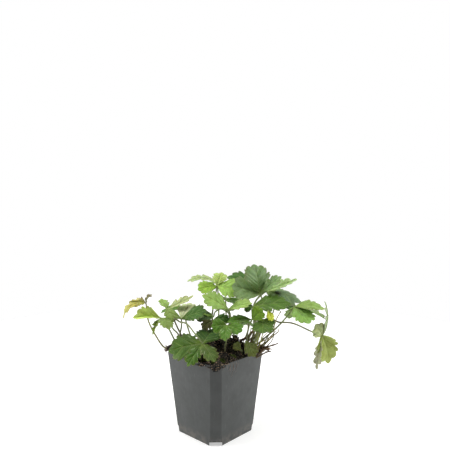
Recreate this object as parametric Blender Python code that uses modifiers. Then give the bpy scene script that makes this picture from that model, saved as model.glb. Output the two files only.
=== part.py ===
"""A barren strawberry plant in its square nursery pot.

Metres, +Z up. The origin is the centre of the pot's base, on the floor, and the pot's walls face
X and Y. The plant is laid out in facing axes, turned about Z so that one corner of the pot is in
front: its points are (right, away, up) in millimetres from the same origin.
"""

import math

import bmesh
import bpy
import numpy as np
from mathutils import Matrix, Vector

MM = 0.001
GAP = 0.0003
WELD = 1e-6
CLEAR = 0.010

# Pot: thin moulded walls, wider at the rim, with the four upright corners cut off
RIM_SIDE = 0.0912
BASE_SIDE = 0.0735
POT_HEIGHT = 0.0980
CORNER_CUT = 0.0092
WALL = 0.0010
# Under each cut corner the base is lifted off the floor as a shelf, with a ramp up to the corner
FOOT_LIFT = 0.0035
RAMP_TOP = 0.0080
RAMP_DEPTH = 0.0026
RAMP_INSET_SHARE = 1.2
SHELF_DEPTH = 0.0085
SHELF_HALF_WIDTH = 0.0075
DRAIN_RADIUS = 0.0020
DRAIN_INSET = 0.0052
DRAIN_SIDES = 10

# Soil: fills the pot and stands proud of the rim in a lumpy mound, millimetres
SOIL_CELLS = 14
SOIL_HALF_SIDE = 47.0
SOIL_AT_WALL = 96.5
MOUND_RISE = 11.0
MOUND_HALF_SIDE = 44.0
MOUND_POWER = 2.2
SOIL_CEILING = 130.0
RIPPLES = (  # turns per millimetre along X and Y, phase, height
    (0.050, 0.028, 0.4, 0.9),
    (-0.035, 0.061, 1.9, 0.8),
    (0.083, -0.068, 3.1, 0.5),
)
LUMPS = (  # right, away, height, radius
    (-49, 3, 6.0, 7),
    (6, 12, 3.0, 8),
    (17, 13, 4.0, 7),
    (49, 0, 4.0, 8),
    (-26, 22, 2.5, 8),
    (24, 28, 2.0, 9),
    (24.5, -4, 6.5, 6),
    (31, -8, 3.0, 5),
    (4, -11, 4.5, 6),
)

# Leaves: a stalk that stands in the soil and leaflets that meet at its tip, millimetres
FRONT_TURN = math.radians(46.87)
STALK_RADIUS = 0.75
STALK_SIDES_EXTRA = 1
STALK_DEPTH = 8.0
STALK_RISE = 3.0
STALK_STEPS = 3
STALK_PAST_JOINT = 0.5
HOLE_SIDES = 6
HOLE_HEADROOM = 7.0
BLADE_THICKNESS = 0.66
BLADE_ROOT = 0.5
WEDGE_END = 0.36
TOOTH_BITE = 0.080
TOOTH_LEAN = 0.35
TOOTH_ROUNDING = 0.6
SLOPE_STEP = 1e-3
NARROW = 0.6
VEIN_SLOPE = 0.9
FAN_START = 0.08
FOLD_AT_BASE = 0.3
FOLD_OPENS = 0.3
FOLD_RELAXES = 0.7
FOLD_LOST_AT_TIP = 0.5
SINUS_WIDTH = 0.055

TONES = {  # linear colour, roughness
    "bright": ((0.262, 0.413, 0.038), 0.55),
    "mid": ((0.107, 0.254, 0.030), 0.55),
    "dark": ((0.045, 0.127, 0.019), 0.50),
    "grey": ((0.150, 0.246, 0.098), 0.50),
    "pale": ((0.262, 0.429, 0.114), 0.60),
    "brown": ((0.305, 0.262, 0.045), 0.75),
    "olive": ((0.188, 0.223, 0.061), 0.75),
    "yellow": ((0.429, 0.546, 0.061), 0.60),
    "rust": ((0.061, 0.045, 0.021), 0.80),
    "bark": ((0.090, 0.050, 0.026), 0.85),
    "straw": ((0.330, 0.270, 0.090), 0.80),
}


def blade(tip, roll=0, bend=20, fold=8, width=1.0, sinus=0.10, teeth=4.5, open_base=0.0,
          fan=0.80, place=0.5):
    """One leaflet: its tip, its turn about the midrib, how it arches and folds, and its cut."""
    return dict(tip=tip, roll=roll, bend=bend, fold=fold, width=width, sinus=sinus, teeth=teeth,
                open_base=open_base, fan=fan, place=place)


LEAVES = {
    "leaf_left_young": dict(
        tone="bright", foot=(-48, -2), stem=[(-51, -2, 113), (-58, -2, 127)],
        joint=(-67, -4, 140), blades=[
            blade((-99, -8, 141), roll=-30, bend=14, fold=42, width=0.85, fan=0.6),
            blade((-54, -28, 132), bend=35, fold=10, width=0.62, fan=0.7),
            blade((-75, -14, 122), bend=25, fold=40, width=0.4, teeth=3.5, fan=0.5),
        ]),
    "leaf_left_folded": dict(
        tone="pale", foot=(-43, 8), stem=[(-47, 9, 116), (-56, 14, 125)],
        joint=(-62, 18, 146), blades=[
            blade((-29, 20, 162), roll=22, bend=-14, fold=22, width=0.46, fan=0.36),
            blade((-72, 42, 154), bend=15, fold=10, width=0.5, fan=0.55),
            blade((-53, 4, 133), bend=35, fold=10, width=0.9),
        ]),
    "leaf_far_left_withered": dict(
        tone="brown", foot=(-51, 3), stem=[(-62, -2, 102), (-74, 2, 116), (-84, 7, 134)],
        joint=(-87, 9, 155), blades=[
            blade((-114, 2, 139), roll=-20, bend=110, fold=10, width=0.45, fan=0.62),
            blade((-81, 15, 165), bend=60, fold=50, width=0.45, fan=0.55),
            blade((-102, 11, 159), roll=-35, width=0.7, fan=0.62),
        ]),
    "leaf_left_dark": dict(
        tone="dark", foot=(-43, 2), stem=[(-44, 2, 116), (-42, 2, 128)],
        joint=(-42, 2, 137), blades=[
            blade((-12, -6, 149), roll=34, bend=18, fold=6, width=0.82, fan=0.75),
            blade((-33, 28, 151), bend=15, fold=10, width=0.8),
            blade((-59, -8, 148), roll=-25, bend=18, fold=12, width=0.8, teeth=3.5),
        ]),
    "leaf_mid_left_dark": dict(
        tone="dark", foot=(10, 8), stem=[(17, 7, 127), (17, 8, 142), (8, 8, 148), (0, 6, 145)],
        joint=(-2, 5, 139), blades=[
            blade((-24, 3, 140), roll=-35, bend=12, width=1.05),
            blade((-15, 9, 143), roll=-5, bend=12, fold=10, width=0.8, teeth=3.5),
        ]),
    "leaf_centre_bright": dict(
        tone="bright", foot=(-2, 10), stem=[(-4, 12, 138), (-2, 14, 152)],
        joint=(2, 14, 176), blades=[
            blade((-21, 6, 173), roll=-30, bend=25, sinus=0.04, fan=0.78),
            blade((8, 26, 191), roll=10),
            blade((30, 4, 172), roll=38, bend=25, fold=6, width=1.1),
        ]),
    "leaf_centre_back_pale": dict(
        tone="pale", foot=(2, 20), stem=[(4, 32, 142)],
        joint=(2, 36, 176), blades=[
            blade((-36, 36, 179), roll=-18, bend=64, fold=12, width=0.42, fan=0.6),
            blade((22, 52, 172), width=0.9, teeth=3.5),
            blade((-8, 62, 171), width=0.9, teeth=3.5),
        ]),
    "leaf_centre_pale": dict(
        tone="pale", foot=(18, -5), stem=[(19, -11, 141)],
        joint=(16, -18, 154), blades=[
            blade((-14, -18, 170), roll=-34, fold=6, width=0.84, fan=0.65),
            blade((43, -26, 162), roll=20, bend=14, fold=14, width=0.8, fan=0.7),
            blade((17, -3, 148), width=0.9),
        ]),
    "leaf_crown_large": dict(
        tone="grey", foot=(44, 2), stem=[(51, 4, 129), (48, 7, 152)],
        joint=(56, 6, 167), blades=[
            blade((22, 1, 178), roll=-42, bend=18, fold=5, width=1.1, fan=0.85),
            blade((49, 16, 202), roll=5, bend=16, fold=6, width=1.2, sinus=0.2, teeth=5.5,
                  fan=0.9, place=0.62),
            blade((81, 3, 189), roll=25, width=0.75, fan=0.75),
        ]),
    "leaf_crown_back_dark": dict(
        tone="dark", foot=(39, 13), stem=[(60, 24, 143)],
        joint=(56, 31, 172), blades=[
            blade((16, 33, 184), roll=-25, bend=45, width=0.72, fan=0.6),
            blade((55, 58, 177), teeth=3.5),
        ]),
    "leaf_right_domed": dict(
        tone="grey", foot=(47, 5), stem=[(49, 10, 144), (51, 13, 157)],
        joint=(64, 17, 169), blades=[
            blade((107, 12, 157), roll=18, bend=40, fold=-14, width=0.92, fan=0.55, open_base=0.8),
            blade((103, 22, 183), roll=30, bend=-8, fold=26, width=0.4, fan=0.4, open_base=0.6),
        ]),
    "leaf_right_green": dict(
        tone="mid", foot=(42, -8), stem=[(49, -8, 132)],
        joint=(46, -10, 155), blades=[
            blade((90, -14, 159), roll=27, bend=30, fold=6, width=0.72, fan=0.6, open_base=0.3),
            blade((35, -12, 156), roll=-66, bend=14, width=1.35),
        ]),
    "leaf_far_right_green": dict(
        tone="mid", foot=(51, 0), stem=[(75, -4, 127), (90, -8, 145)],
        joint=(96, -10, 155), blades=[
            blade((132, -12, 153), roll=8, bend=30, width=0.95, fan=0.7),
            blade((110, -34, 141), roll=6, fold=6),
            blade((139, 10, 134), roll=10, fold=30, width=0.4, teeth=3.5, fan=0.5),
            blade((92, 2, 138), bend=15, fold=10, width=0.8, teeth=2.5, fan=0.7),
        ]),
    "leaf_far_right_withered": dict(
        tone="olive", foot=(47, -5), stem=[(65, -2, 136), (79, -3, 134), (96, -5, 133), (117, -7, 124)],
        joint=(131, -8, 119), blades=[
            blade((122, -12, 133), roll=-86, width=1.2, teeth=3.5, fan=0.62, open_base=0.6),
            blade((135, -4, 159), roll=66, bend=-58, fold=24, width=0.32, teeth=3.5, fan=0.6),
            blade((140, -4, 84), roll=90, bend=40, fold=10, width=0.76, fan=0.5, open_base=0.9),
            blade((123, -17, 81), roll=12, bend=16, fold=18, width=0.26, sinus=0.03, teeth=3.5,
                  fan=0.6),
        ]),
    "leaf_front_centre": dict(
        tone="mid", foot=(12, -22), stem=[(15, -27, 125)],
        joint=(14, -37, 139), blades=[
            blade((-3, -38, 138), roll=-55, fold=5, width=1.15, fan=0.78),
            blade((12, -60, 128), roll=6, bend=30, width=0.56, fan=0.74),
            blade((31, -48, 135), roll=30, bend=15, fold=6, width=0.95),
        ]),
    "leaf_right_low_green": dict(
        tone="mid", foot=(38, -10), stem=[(40, -15, 128)],
        joint=(44, -23, 142), blades=[
            blade((56, -25, 155), roll=66, bend=12, fold=6, width=1.15),
            blade((16, -25, 140), roll=-14, bend=26, fold=12, width=0.78, fan=0.7),
        ]),
    "leaf_right_low_dark": dict(
        tone="dark", foot=(43.5, -13), stem=[(54, -17, 128)],
        joint=(58, -20, 142), blades=[
            blade((55, -44, 132), bend=15, fold=5, width=1.05),
            blade((72, -22, 138), roll=20, bend=15, width=0.8),
        ]),
    "leaf_front_left_large": dict(
        tone="mid", foot=(-38, 8), stem=[(-51, 4, 135), (-43, -2, 134), (-34, -12, 134), (-24, -24, 126)],
        joint=(-14, -32, 116), blades=[
            blade((-53, -30, 107), roll=-46, bend=22, fold=3, width=0.86, fan=0.72, open_base=0.3),
            blade((-30, -50, 96), roll=-20, bend=26, fold=4, width=0.54, fan=0.74, open_base=0.1),
            blade((-2, -10, 127), roll=5, bend=15, fold=4, width=1.3),
            blade((0, -53, 102), roll=8, bend=16, fold=4, width=0.7, fan=0.7, open_base=0.4),
        ]),
    "leaf_small_on_soil": dict(
        tone="olive", foot=(32, -17), stem=[],
        joint=(31, -20, 105), blades=[
            blade((23, -19, 112), roll=-42, bend=15, fold=6, width=1.2, teeth=2.5),
        ]),
    "leaf_small_right_rim": dict(
        tone="dark", foot=(37, -16.5), stem=[],
        joint=(37, -17, 115), blades=[
            blade((47, -31, 101), roll=24, fold=6, width=0.75, teeth=3.5),
        ]),
    "leaf_small_brown": dict(
        tone="rust", foot=(1, -4), stem=[(-1, -5, 123)],
        joint=(-3, -6, 137), blades=[
            blade((18, -8, 139), roll=30, bend=50, width=0.7, teeth=3.5),
            blade((-15, -14, 129), roll=-45, bend=60, fold=16, width=0.8, teeth=3.5),
        ]),
    "leaf_small_yellow": dict(
        tone="yellow", foot=(41, -3), stem=[(54, -9, 124), (61, -11, 134), (63, -14, 143)],
        joint=(63, -27, 154), blades=[
            blade((67, -32, 143), bend=12, width=0.88, teeth=3.5),
        ]),
    "leaf_back_left": dict(
        tone="mid", foot=(-30, 22), stem=[(-39, 36, 125)],
        joint=(-42, 44, 140), blades=[
            blade((-72, 56, 136), roll=-8, teeth=3.5),
            blade((-37, 80, 134), teeth=3.5),
            blade((-18, 40, 137), roll=8, teeth=3.5),
        ]),
    "leaf_back_centre": dict(
        tone="mid", foot=(6, 34), stem=[(13, 42, 129)],
        joint=(13, 46, 152), blades=[
            blade((-11, 60, 149), roll=-8, teeth=3.5),
            blade((22, 82, 146), teeth=3.5),
            blade((37, 34, 150), roll=8, teeth=3.5),
        ]),
    "leaf_back_right": dict(
        tone="dark", foot=(38, 18), stem=[(68, 28, 127)],
        joint=(79, 36, 149), blades=[
            blade((63, 62, 146), roll=-8, teeth=3.5),
            blade((99, 66, 146), teeth=3.5),
            blade((104, 26, 144), roll=8, width=0.9, teeth=3.5),
        ]),
    "leaf_back_low": dict(
        tone="mid", foot=(16, 32), stem=[(24, 44, 112)],
        joint=(27, 52, 121), blades=[
            blade((5, 66, 117), roll=-8, teeth=3.5),
            blade((33, 86, 107), bend=30, teeth=3.5),
            blade((49, 58, 117), roll=8, teeth=3.5),
        ]),
    "leaf_back_far_low": dict(
        tone="dark", foot=(-14, 38), stem=[(-11, 50, 104)],
        joint=(-12, 56, 105), blades=[
            blade((-36, 66, 94), roll=-8, width=0.9, teeth=3.5),
            blade((-9, 90, 88), bend=30, teeth=3.5),
            blade((7, 70, 98), roll=8, width=0.9, teeth=3.5),
        ]),
}
STUBS = {  # cut and broken stalks that stand in the soil
    "runner_brown": dict(tone="bark", radius=1.6, foot=(31, -5),
        route=[(39, -4, 115), (44, -4, 121), (48, -4, 125)]),
    "stub_grey": dict(tone="grey", radius=0.8, foot=(32, 4),
        route=[(40, 4, 118), (41, 4, 131)]),
    "stub_pale": dict(tone="pale", radius=1.2, foot=(49, 8),
        route=[(53, 7, 118), (55, 7, 126)]),
    "stub_dark_tip": dict(tone="bark", radius=1.1, foot=(48.5, -8.5),
        route=[(69, -10, 107), (77, -10, 110)]),
    "twig_right_tall": dict(tone="straw", radius=0.7, foot=(51, -5),
        route=[(70, -6, 117), (73, -8, 134), (80, -8, 149)]),
    "twig_right_short": dict(tone="straw", radius=0.7, foot=(52, 4),
        route=[(76, 4, 118), (79, 4, 124)]),
}

def soil_top(right, away):
    """Height of the soil, in millimetres, at a place in facing axes."""
    x = right * math.cos(FRONT_TURN) + away * math.sin(FRONT_TURN)
    y = away * math.cos(FRONT_TURN) - right * math.sin(FRONT_TURN)
    out = max(abs(x), abs(y)) / MOUND_HALF_SIDE
    height = SOIL_AT_WALL + MOUND_RISE * (1 - min(out, 1) ** MOUND_POWER)
    for turns_x, turns_y, phase, swing in RIPPLES:
        height += swing * math.sin(2 * math.pi * (turns_x * x + turns_y * y) + phase)
    for lump_right, lump_away, rise, radius in LUMPS:
        distance = math.hypot(right - lump_right, away - lump_away) / radius
        height += rise * math.exp(-distance * distance)
    return height


def material(name, colour, roughness):
    made = bpy.data.materials.new(name)
    made.use_nodes = True
    shader = made.node_tree.nodes["Principled BSDF"]
    shader.inputs["Base Color"].default_value = (*colour, 1)
    shader.inputs["Roughness"].default_value = roughness
    return made


def new_object(name, mesh_or_form, collection):
    """An object of a mesh, or of a bmesh, which it frees."""
    mesh = mesh_or_form
    if isinstance(mesh_or_form, bmesh.types.BMesh):
        mesh = bpy.data.meshes.new(name)
        mesh_or_form.to_mesh(mesh)
        mesh_or_form.free()
    made = bpy.data.objects.new(name, mesh)
    collection.objects.link(made)
    return made


def tool_collection(name):
    """A hidden collection for the pieces that cut or join others."""
    made = bpy.data.collections.new(name)
    made.hide_render = True
    bpy.context.scene.collection.children.link(made)
    return made


def drop(collection):
    for item in list(collection.objects):
        bpy.data.objects.remove(item)
    bpy.data.collections.remove(collection)


def settle(item):
    """The object with its modifiers applied."""
    bpy.context.view_layer.update()
    graph = bpy.context.evaluated_depsgraph_get()
    mesh = bpy.data.meshes.new_from_object(item.evaluated_get(graph))
    item.modifiers.clear()
    item.data = mesh
    mesh.name = item.name


def combine(item, operation, collection, solver="EXACT"):
    """The object cut by, or joined with, all that the collection holds."""
    step = item.modifiers.new(operation.lower(), "BOOLEAN")
    step.operation = operation
    step.operand_type = "COLLECTION"
    step.collection = collection
    step.solver = solver
    settle(item)
    drop(collection)


def tapered_form(inset, low, high):
    """The pot's form drawn in by inset all round, from low to high."""
    form = bmesh.new()
    bmesh.ops.create_cube(form, size=1.0)
    for corner in form.verts:
        level = high if corner.co.z > 0 else low
        side = BASE_SIDE + (RIM_SIDE - BASE_SIDE) * level / POT_HEIGHT - 2 * inset
        corner.co = (corner.co.x * side, corner.co.y * side, level)
    upright = [edge for edge in form.edges
               if abs(edge.verts[0].co.z - edge.verts[1].co.z) > (high - low) / 2]
    cut = CORNER_CUT - inset * (2 - math.sqrt(2))
    bmesh.ops.bevel(form, geom=upright, offset=cut, offset_type="OFFSET", segments=1,
                    affect="EDGES", profile=0.5)
    return form


def corner_form(quarter, inset):
    """What is missing under one cut corner, drawn out by inset."""
    face_at_floor = (BASE_SIDE - CORNER_CUT) / math.sqrt(2)
    face_lean = (RIM_SIDE - BASE_SIDE) / math.sqrt(2) / POT_HEIGHT
    shelf = FOOT_LIFT + inset
    ramp_start = face_at_floor + face_lean * FOOT_LIFT - RAMP_DEPTH - RAMP_INSET_SHARE * inset
    ramp_rise = (RAMP_TOP - FOOT_LIFT) / (RAMP_DEPTH + face_lean * (RAMP_TOP - FOOT_LIFT))
    inner = face_at_floor - SHELF_DEPTH - inset
    outer = face_at_floor + CLEAR
    below = -CLEAR
    profile = [(inner, below), (inner, shelf), (ramp_start, shelf),
               (outer, shelf + (outer - ramp_start) * ramp_rise), (outer, below)]
    half_width = SHELF_HALF_WIDTH + inset
    form = bmesh.new()
    side = form.faces.new([form.verts.new((out, -half_width, up)) for out, up in profile])
    extruded = bmesh.ops.extrude_face_region(form, geom=[side])["geom"]
    moved = [part for part in extruded if isinstance(part, bmesh.types.BMVert)]
    bmesh.ops.translate(form, verts=moved, vec=(0, 2 * half_width, 0))
    bmesh.ops.recalc_face_normals(form, faces=form.faces)
    turn = Matrix.Rotation(math.radians(45 + 90 * quarter), 4, "Z")
    bmesh.ops.transform(form, matrix=turn, verts=form.verts)
    return form


def potting_form(name, inset, low, high, collection):
    """The pot's form drawn in by inset, with its lifted corners."""
    made = new_object(name, tapered_form(inset, low, high), collection)
    corners = tool_collection(name + "_corners")
    for quarter in range(4):
        new_object(f"{name}_corner_{quarter}", corner_form(quarter, inset), corners)
    combine(made, "DIFFERENCE", corners)
    return made


def rod_form(x, y, radius, low, high, sides):
    form = bmesh.new()
    place = Matrix.Translation((x, y, (low + high) / 2))
    bmesh.ops.create_cone(form, cap_ends=True, segments=sides, radius1=radius, radius2=radius,
                          depth=high - low, matrix=place)
    return form


def make_pot(collection):
    pot = potting_form("pot", 0, 0, POT_HEIGHT, collection)
    hollow = tool_collection("pot_hollow")
    potting_form("pot_inside", WALL, WALL, POT_HEIGHT + CLEAR, hollow)
    drain_reach = (BASE_SIDE - CORNER_CUT) / math.sqrt(2) - DRAIN_INSET
    for quarter in range(4):
        angle = math.radians(45 + 90 * quarter)
        hole = rod_form(drain_reach * math.cos(angle), drain_reach * math.sin(angle),
                        DRAIN_RADIUS, 0, FOOT_LIFT + 2 * WALL, DRAIN_SIDES)
        new_object(f"drain_{quarter}", hole, hollow)
    combine(pot, "DIFFERENCE", hollow)
    pot.data.materials.append(material("pot_plastic", (0.100, 0.106, 0.112), 0.55))


def make_soil(collection):
    """A lumpy sheet drawn down into a block and kept to the inside of the pot."""
    form = bmesh.new()
    bmesh.ops.create_grid(form, x_segments=SOIL_CELLS, y_segments=SOIL_CELLS,
                          size=SOIL_HALF_SIDE * MM)
    for point in form.verts:
        x, y = point.co.x / MM, point.co.y / MM
        right = x * math.cos(FRONT_TURN) - y * math.sin(FRONT_TURN)
        away = x * math.sin(FRONT_TURN) + y * math.cos(FRONT_TURN)
        point.co.z = soil_top(right, away) * MM
    extruded = bmesh.ops.extrude_face_region(form, geom=form.faces[:])["geom"]
    for part in extruded:
        if isinstance(part, bmesh.types.BMVert):
            part.co.z = -CLEAR
    bmesh.ops.triangulate(form, faces=form.faces)
    bmesh.ops.recalc_face_normals(form, faces=form.faces)
    soil = new_object("soil", form, collection)
    inside = tool_collection("soil_inside")
    potting_form("soil_form", WALL + GAP, WALL + GAP, SOIL_CEILING * MM, inside)
    combine(soil, "INTERSECT", inside)
    holes = tool_collection("stalk_holes")
    standing = [(leaf["foot"], STALK_RADIUS) for leaf in LEAVES.values()]
    standing += [(stub["foot"], stub["radius"]) for stub in STUBS.values()]
    for number, ((right, away), radius) in enumerate(standing):
        x = right * math.cos(FRONT_TURN) + away * math.sin(FRONT_TURN)
        y = away * math.cos(FRONT_TURN) - right * math.sin(FRONT_TURN)
        top = soil_top(right, away)
        low, high = (top - STALK_DEPTH) * MM - GAP, (top + HOLE_HEADROOM) * MM
        width = (radius * MM + GAP) / math.cos(math.pi / HOLE_SIDES)
        hole = rod_form(x * MM, y * MM, width, low, high, HOLE_SIDES)
        new_object(f"hole_{number}", hole, holes)
    combine(soil, "DIFFERENCE", holes)
    soil.data.materials.append(material("peat", (0.018, 0.014, 0.011), 0.95))


def smooth_route(points, steps):
    """Points of a smooth line that runs through all the given ones."""
    known = [np.array(point, float) for point in points]
    known = [2 * known[0] - known[1]] + known + [2 * known[-1] - known[-2]]
    route = []
    for i in range(1, len(known) - 2):
        a, b, c, d = known[i - 1:i + 3]
        for t in np.arange(steps) / steps:
            route.append(0.5 * (2 * b + (c - a) * t + (2 * a - 5 * b + 4 * c - d) * t ** 2
                                + (3 * b - a - 3 * c + d) * t ** 3))
    return route + [known[-2]]


def stalk_route(foot, points):
    """A stalk's line: straight up out of its hole, then through its points."""
    right, away = foot
    top = soil_top(right, away)
    bottom = np.array((right, away, top - STALK_DEPTH))
    mouth = (right, away, top + STALK_RISE)
    route = [bottom] + smooth_route([mouth] + points, STALK_STEPS)
    last = route[-1] - route[-2]
    route[-1] = route[-1] + STALK_PAST_JOINT * last / np.linalg.norm(last)
    return route


def make_tube(name, route, radius, collection):
    """A round rod along the route, closed at both ends."""
    curve = bpy.data.curves.new(name, "CURVE")
    curve.dimensions = "3D"
    curve.bevel_depth = radius * MM
    curve.bevel_resolution = STALK_SIDES_EXTRA
    curve.use_fill_caps = True
    line = curve.splines.new("POLY")
    line.points.add(len(route) - 1)
    for point, place in zip(line.points, route):
        point.co = (*(np.array(place) * MM), 1)
    source = bpy.data.objects.new(name + "_line", curve)
    collection.objects.link(source)
    bpy.context.view_layer.update()
    graph = bpy.context.evaluated_depsgraph_get()
    mesh = bpy.data.meshes.new_from_object(source.evaluated_get(graph))
    bpy.data.objects.remove(source)
    form = bmesh.new()
    form.from_mesh(mesh)
    bmesh.ops.remove_doubles(form, verts=form.verts, dist=WELD)
    bmesh.ops.recalc_face_normals(form, faces=form.faces)
    for face in form.faces:
        face.smooth = True
    return new_object(name, form, collection)


def bow(q, first, second):
    """A cubic curve from (0, 0) to (1, 0) with two guide points."""
    q = q[:, None]
    rest = 1 - q
    return (3 * rest * rest * q * np.array(first) + 3 * rest * q * q * np.array(second)
            + q ** 3 * np.array((1.0, 0.0)))


def half_outline(form):
    """Points along the midrib and along one toothed margin of a leaflet of unit length."""
    teeth, width = form["teeth"], form["width"]
    q = np.concatenate([[0, WEDGE_END / 2],
                        np.linspace(WEDGE_END, 1, int(round(teeth * 2)) + 1)])
    opening = form["open_base"]
    first = (0.25 - 0.14 * opening, (0.20 + 0.22 * opening) * width)
    second = (form["fan"], 0.95 * width)
    margin = bow(q, first, second)
    after, before = np.minimum(q + SLOPE_STEP, 1), np.maximum(q - SLOPE_STEP, 0)
    along = bow(after, first, second) - bow(before, first, second)
    along /= np.linalg.norm(along, axis=1)[:, None]
    outward = np.stack([-along[:, 1], along[:, 0]], 1)
    rib = np.maximum(margin[:, 0] - VEIN_SLOPE * margin[:, 1] / max(width, NARROW), FAN_START)
    rib[0] = 0
    rib = np.stack([rib, 0 * q], 1)
    part = np.clip((q - WEDGE_END) / (1 - WEDGE_END), 0, 1)
    tooth = np.abs(np.sin(np.pi * teeth * part)) ** TOOTH_ROUNDING
    notch = WEDGE_END + (1 - WEDGE_END) * round(form["place"] * teeth) / teeth
    swell = TOOTH_BITE * np.clip(part * 5, 0, 1) * (tooth - 0.5)
    swell -= form["sinus"] * np.exp(-((q - notch) / SINUS_WIDTH) ** 2)
    edge = margin + (outward + TOOTH_LEAN * along) * swell[:, None]
    edge[:, 1] = np.maximum(edge[:, 1], 0)
    edge[-1, 1] = 0
    rib[-1] = edge[-1]
    return rib, edge


def fold_share(along):
    """How much of its fold a leaflet has: less at its base, full in its middle, relaxed at its tip."""
    opening = np.clip(along / FOLD_OPENS, 0, 1)
    relaxing = np.clip((along - FOLD_RELAXES) / (1 - FOLD_RELAXES), 0, 1)
    return (FOLD_AT_BASE + (1 - FOLD_AT_BASE) * opening) * (1 - FOLD_LOST_AT_TIP * relaxing)


def place_on_leaflet(points, base, form):
    """Points of the flat unit leaflet carried onto the arched and folded one."""
    chord = np.array(form["tip"], float) - base
    span = np.linalg.norm(chord)
    ahead = chord / span
    up = np.array((0.0, 0.0, 1.0)) if abs(ahead[2]) < 0.97 else np.array((0.0, 1.0, 0.0))
    up = up - up.dot(ahead) * ahead
    up /= np.linalg.norm(up)
    roll = math.radians(form["roll"])
    up = up * math.cos(roll) + np.cross(ahead, up) * math.sin(roll)
    arch = math.radians(form["bend"])
    length = span * (arch / 2) / math.sin(arch / 2)
    angle = arch / 2 - arch * points[:, 0]
    forward = (math.sin(arch / 2) - np.sin(angle)) * length / arch
    rise = (np.cos(angle) - math.cos(arch / 2)) * length / arch
    normal = np.cos(angle)[:, None] * up - np.sin(angle)[:, None] * ahead
    side = np.cross(np.cos(angle)[:, None] * ahead + np.sin(angle)[:, None] * up, normal)
    fold = math.radians(form["fold"]) * fold_share(points[:, 0])
    across = points[:, 1] * length
    return (base + forward[:, None] * ahead + rise[:, None] * up
            + (across * np.cos(fold))[:, None] * side
            + (np.abs(across) * np.sin(fold))[:, None] * normal)


def make_blade(name, joint, form, collection):
    """A leaflet: two toothed halves of equal triangles that meet at the midrib."""
    joint = np.array(joint, float)
    chord = np.array(form["tip"], float) - joint
    base = joint - BLADE_ROOT * chord / np.linalg.norm(chord)
    rib, edge = half_outline(form)
    rows = [place_on_leaflet(edge * (1, -1), base, form), place_on_leaflet(rib, base, form),
            place_on_leaflet(edge, base, form)]
    columns = len(rib) - 1
    sheet = bmesh.new()
    bmesh.ops.create_grid(sheet, x_segments=columns, y_segments=2, size=1.0)
    for point in sheet.verts:
        column = round((point.co.x + 1) / 2 * columns)
        point.co = Vector(rows[round(point.co.y + 1)][column] * MM)
    bmesh.ops.remove_doubles(sheet, verts=sheet.verts, dist=WELD)
    bmesh.ops.triangulate(sheet, faces=sheet.faces)
    made = new_object(name, sheet, collection)
    thick = made.modifiers.new("thickness", "SOLIDIFY")
    thick.thickness = BLADE_THICKNESS * MM / math.cos(math.radians(form["fold"]))
    thick.offset = 0
    settle(made)
    return made


def make_leaf(name, leaf, collection, axes):
    stalk = make_tube(name, stalk_route(leaf["foot"], leaf["stem"] + [leaf["joint"]]),
                      STALK_RADIUS, collection)
    blades = tool_collection(name + "_blades")
    for number, form in enumerate(leaf["blades"]):
        make_blade(f"{name}_blade_{number}", leaf["joint"], form, blades)
    combine(stalk, "UNION", blades, solver="MANIFOLD")
    stalk.data.materials.clear()
    stalk.data.materials.append(material(name, *TONES[leaf["tone"]]))
    stalk.parent = axes


def make_stub(name, stub, collection, axes):
    made = make_tube(name, stalk_route(stub["foot"], stub["route"]), stub["radius"], collection)
    made.data.materials.append(material(name, *TONES[stub["tone"]]))
    made.parent = axes


def build():
    for item in list(bpy.data.objects):
        bpy.data.objects.remove(item)
    plant = bpy.data.collections.new("potted_barren_strawberry")
    bpy.context.scene.collection.children.link(plant)
    axes = bpy.data.objects.new("facing_axes", None)
    axes.rotation_euler.z = -FRONT_TURN
    plant.objects.link(axes)
    make_pot(plant)
    make_soil(plant)
    for name, leaf in LEAVES.items():
        make_leaf(name, leaf, plant, axes)
    for name, stub in STUBS.items():
        make_stub(name, stub, plant, axes)
    bpy.context.view_layer.update()


build()
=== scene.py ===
"""A barren strawberry plant in its square nursery pot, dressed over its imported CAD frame.

The pot's walls face X and Y. The plant is laid out in facing axes, (right, away, up) in
millimetres from the centre of the pot's base, turned so that one corner of the pot is in front.
"""

import math

import bmesh
import bpy
import numpy as np
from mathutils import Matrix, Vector, noise


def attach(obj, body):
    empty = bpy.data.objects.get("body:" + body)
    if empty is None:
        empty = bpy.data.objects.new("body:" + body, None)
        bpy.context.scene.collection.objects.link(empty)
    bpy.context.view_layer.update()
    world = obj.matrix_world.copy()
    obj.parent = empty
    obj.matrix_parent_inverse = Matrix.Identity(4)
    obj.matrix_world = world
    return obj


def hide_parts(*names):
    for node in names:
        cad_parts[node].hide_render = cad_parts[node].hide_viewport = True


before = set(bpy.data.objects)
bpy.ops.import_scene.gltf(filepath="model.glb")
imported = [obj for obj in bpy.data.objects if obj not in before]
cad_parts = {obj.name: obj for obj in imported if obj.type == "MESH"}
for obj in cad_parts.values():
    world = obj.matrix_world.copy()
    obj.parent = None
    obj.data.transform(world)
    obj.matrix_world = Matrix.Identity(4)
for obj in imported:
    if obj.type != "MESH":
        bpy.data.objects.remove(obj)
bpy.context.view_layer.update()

# Nursery pot
# A square tapered pot with cut-off corners and lifted feet, moulded in one piece from recycled
# polypropylene about 1 mm thick. It is matt dark grey, with dust, scuffs and peat stains on it.
MM = 0.001
RIM_SIDE = 91.2
BASE_SIDE = 73.5
POT_HEIGHT = 98.0
EDGE_ROUND = 0.28
FLAT_WITHIN = math.radians(1)  # faces that differ by less are one face
ROUND_FROM = math.radians(25)  # edges that turn by more are rounded
SHARP_FROM = math.radians(20)
DUST_TOP = 16.0
STAINS_FROM = 84.0
FLOW_STRETCH = 0.12  # scuffs and marks run up and down, as the plastic flowed
SOFT_STEP = {"interpolation_type": "SMOOTHSTEP"}


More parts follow.
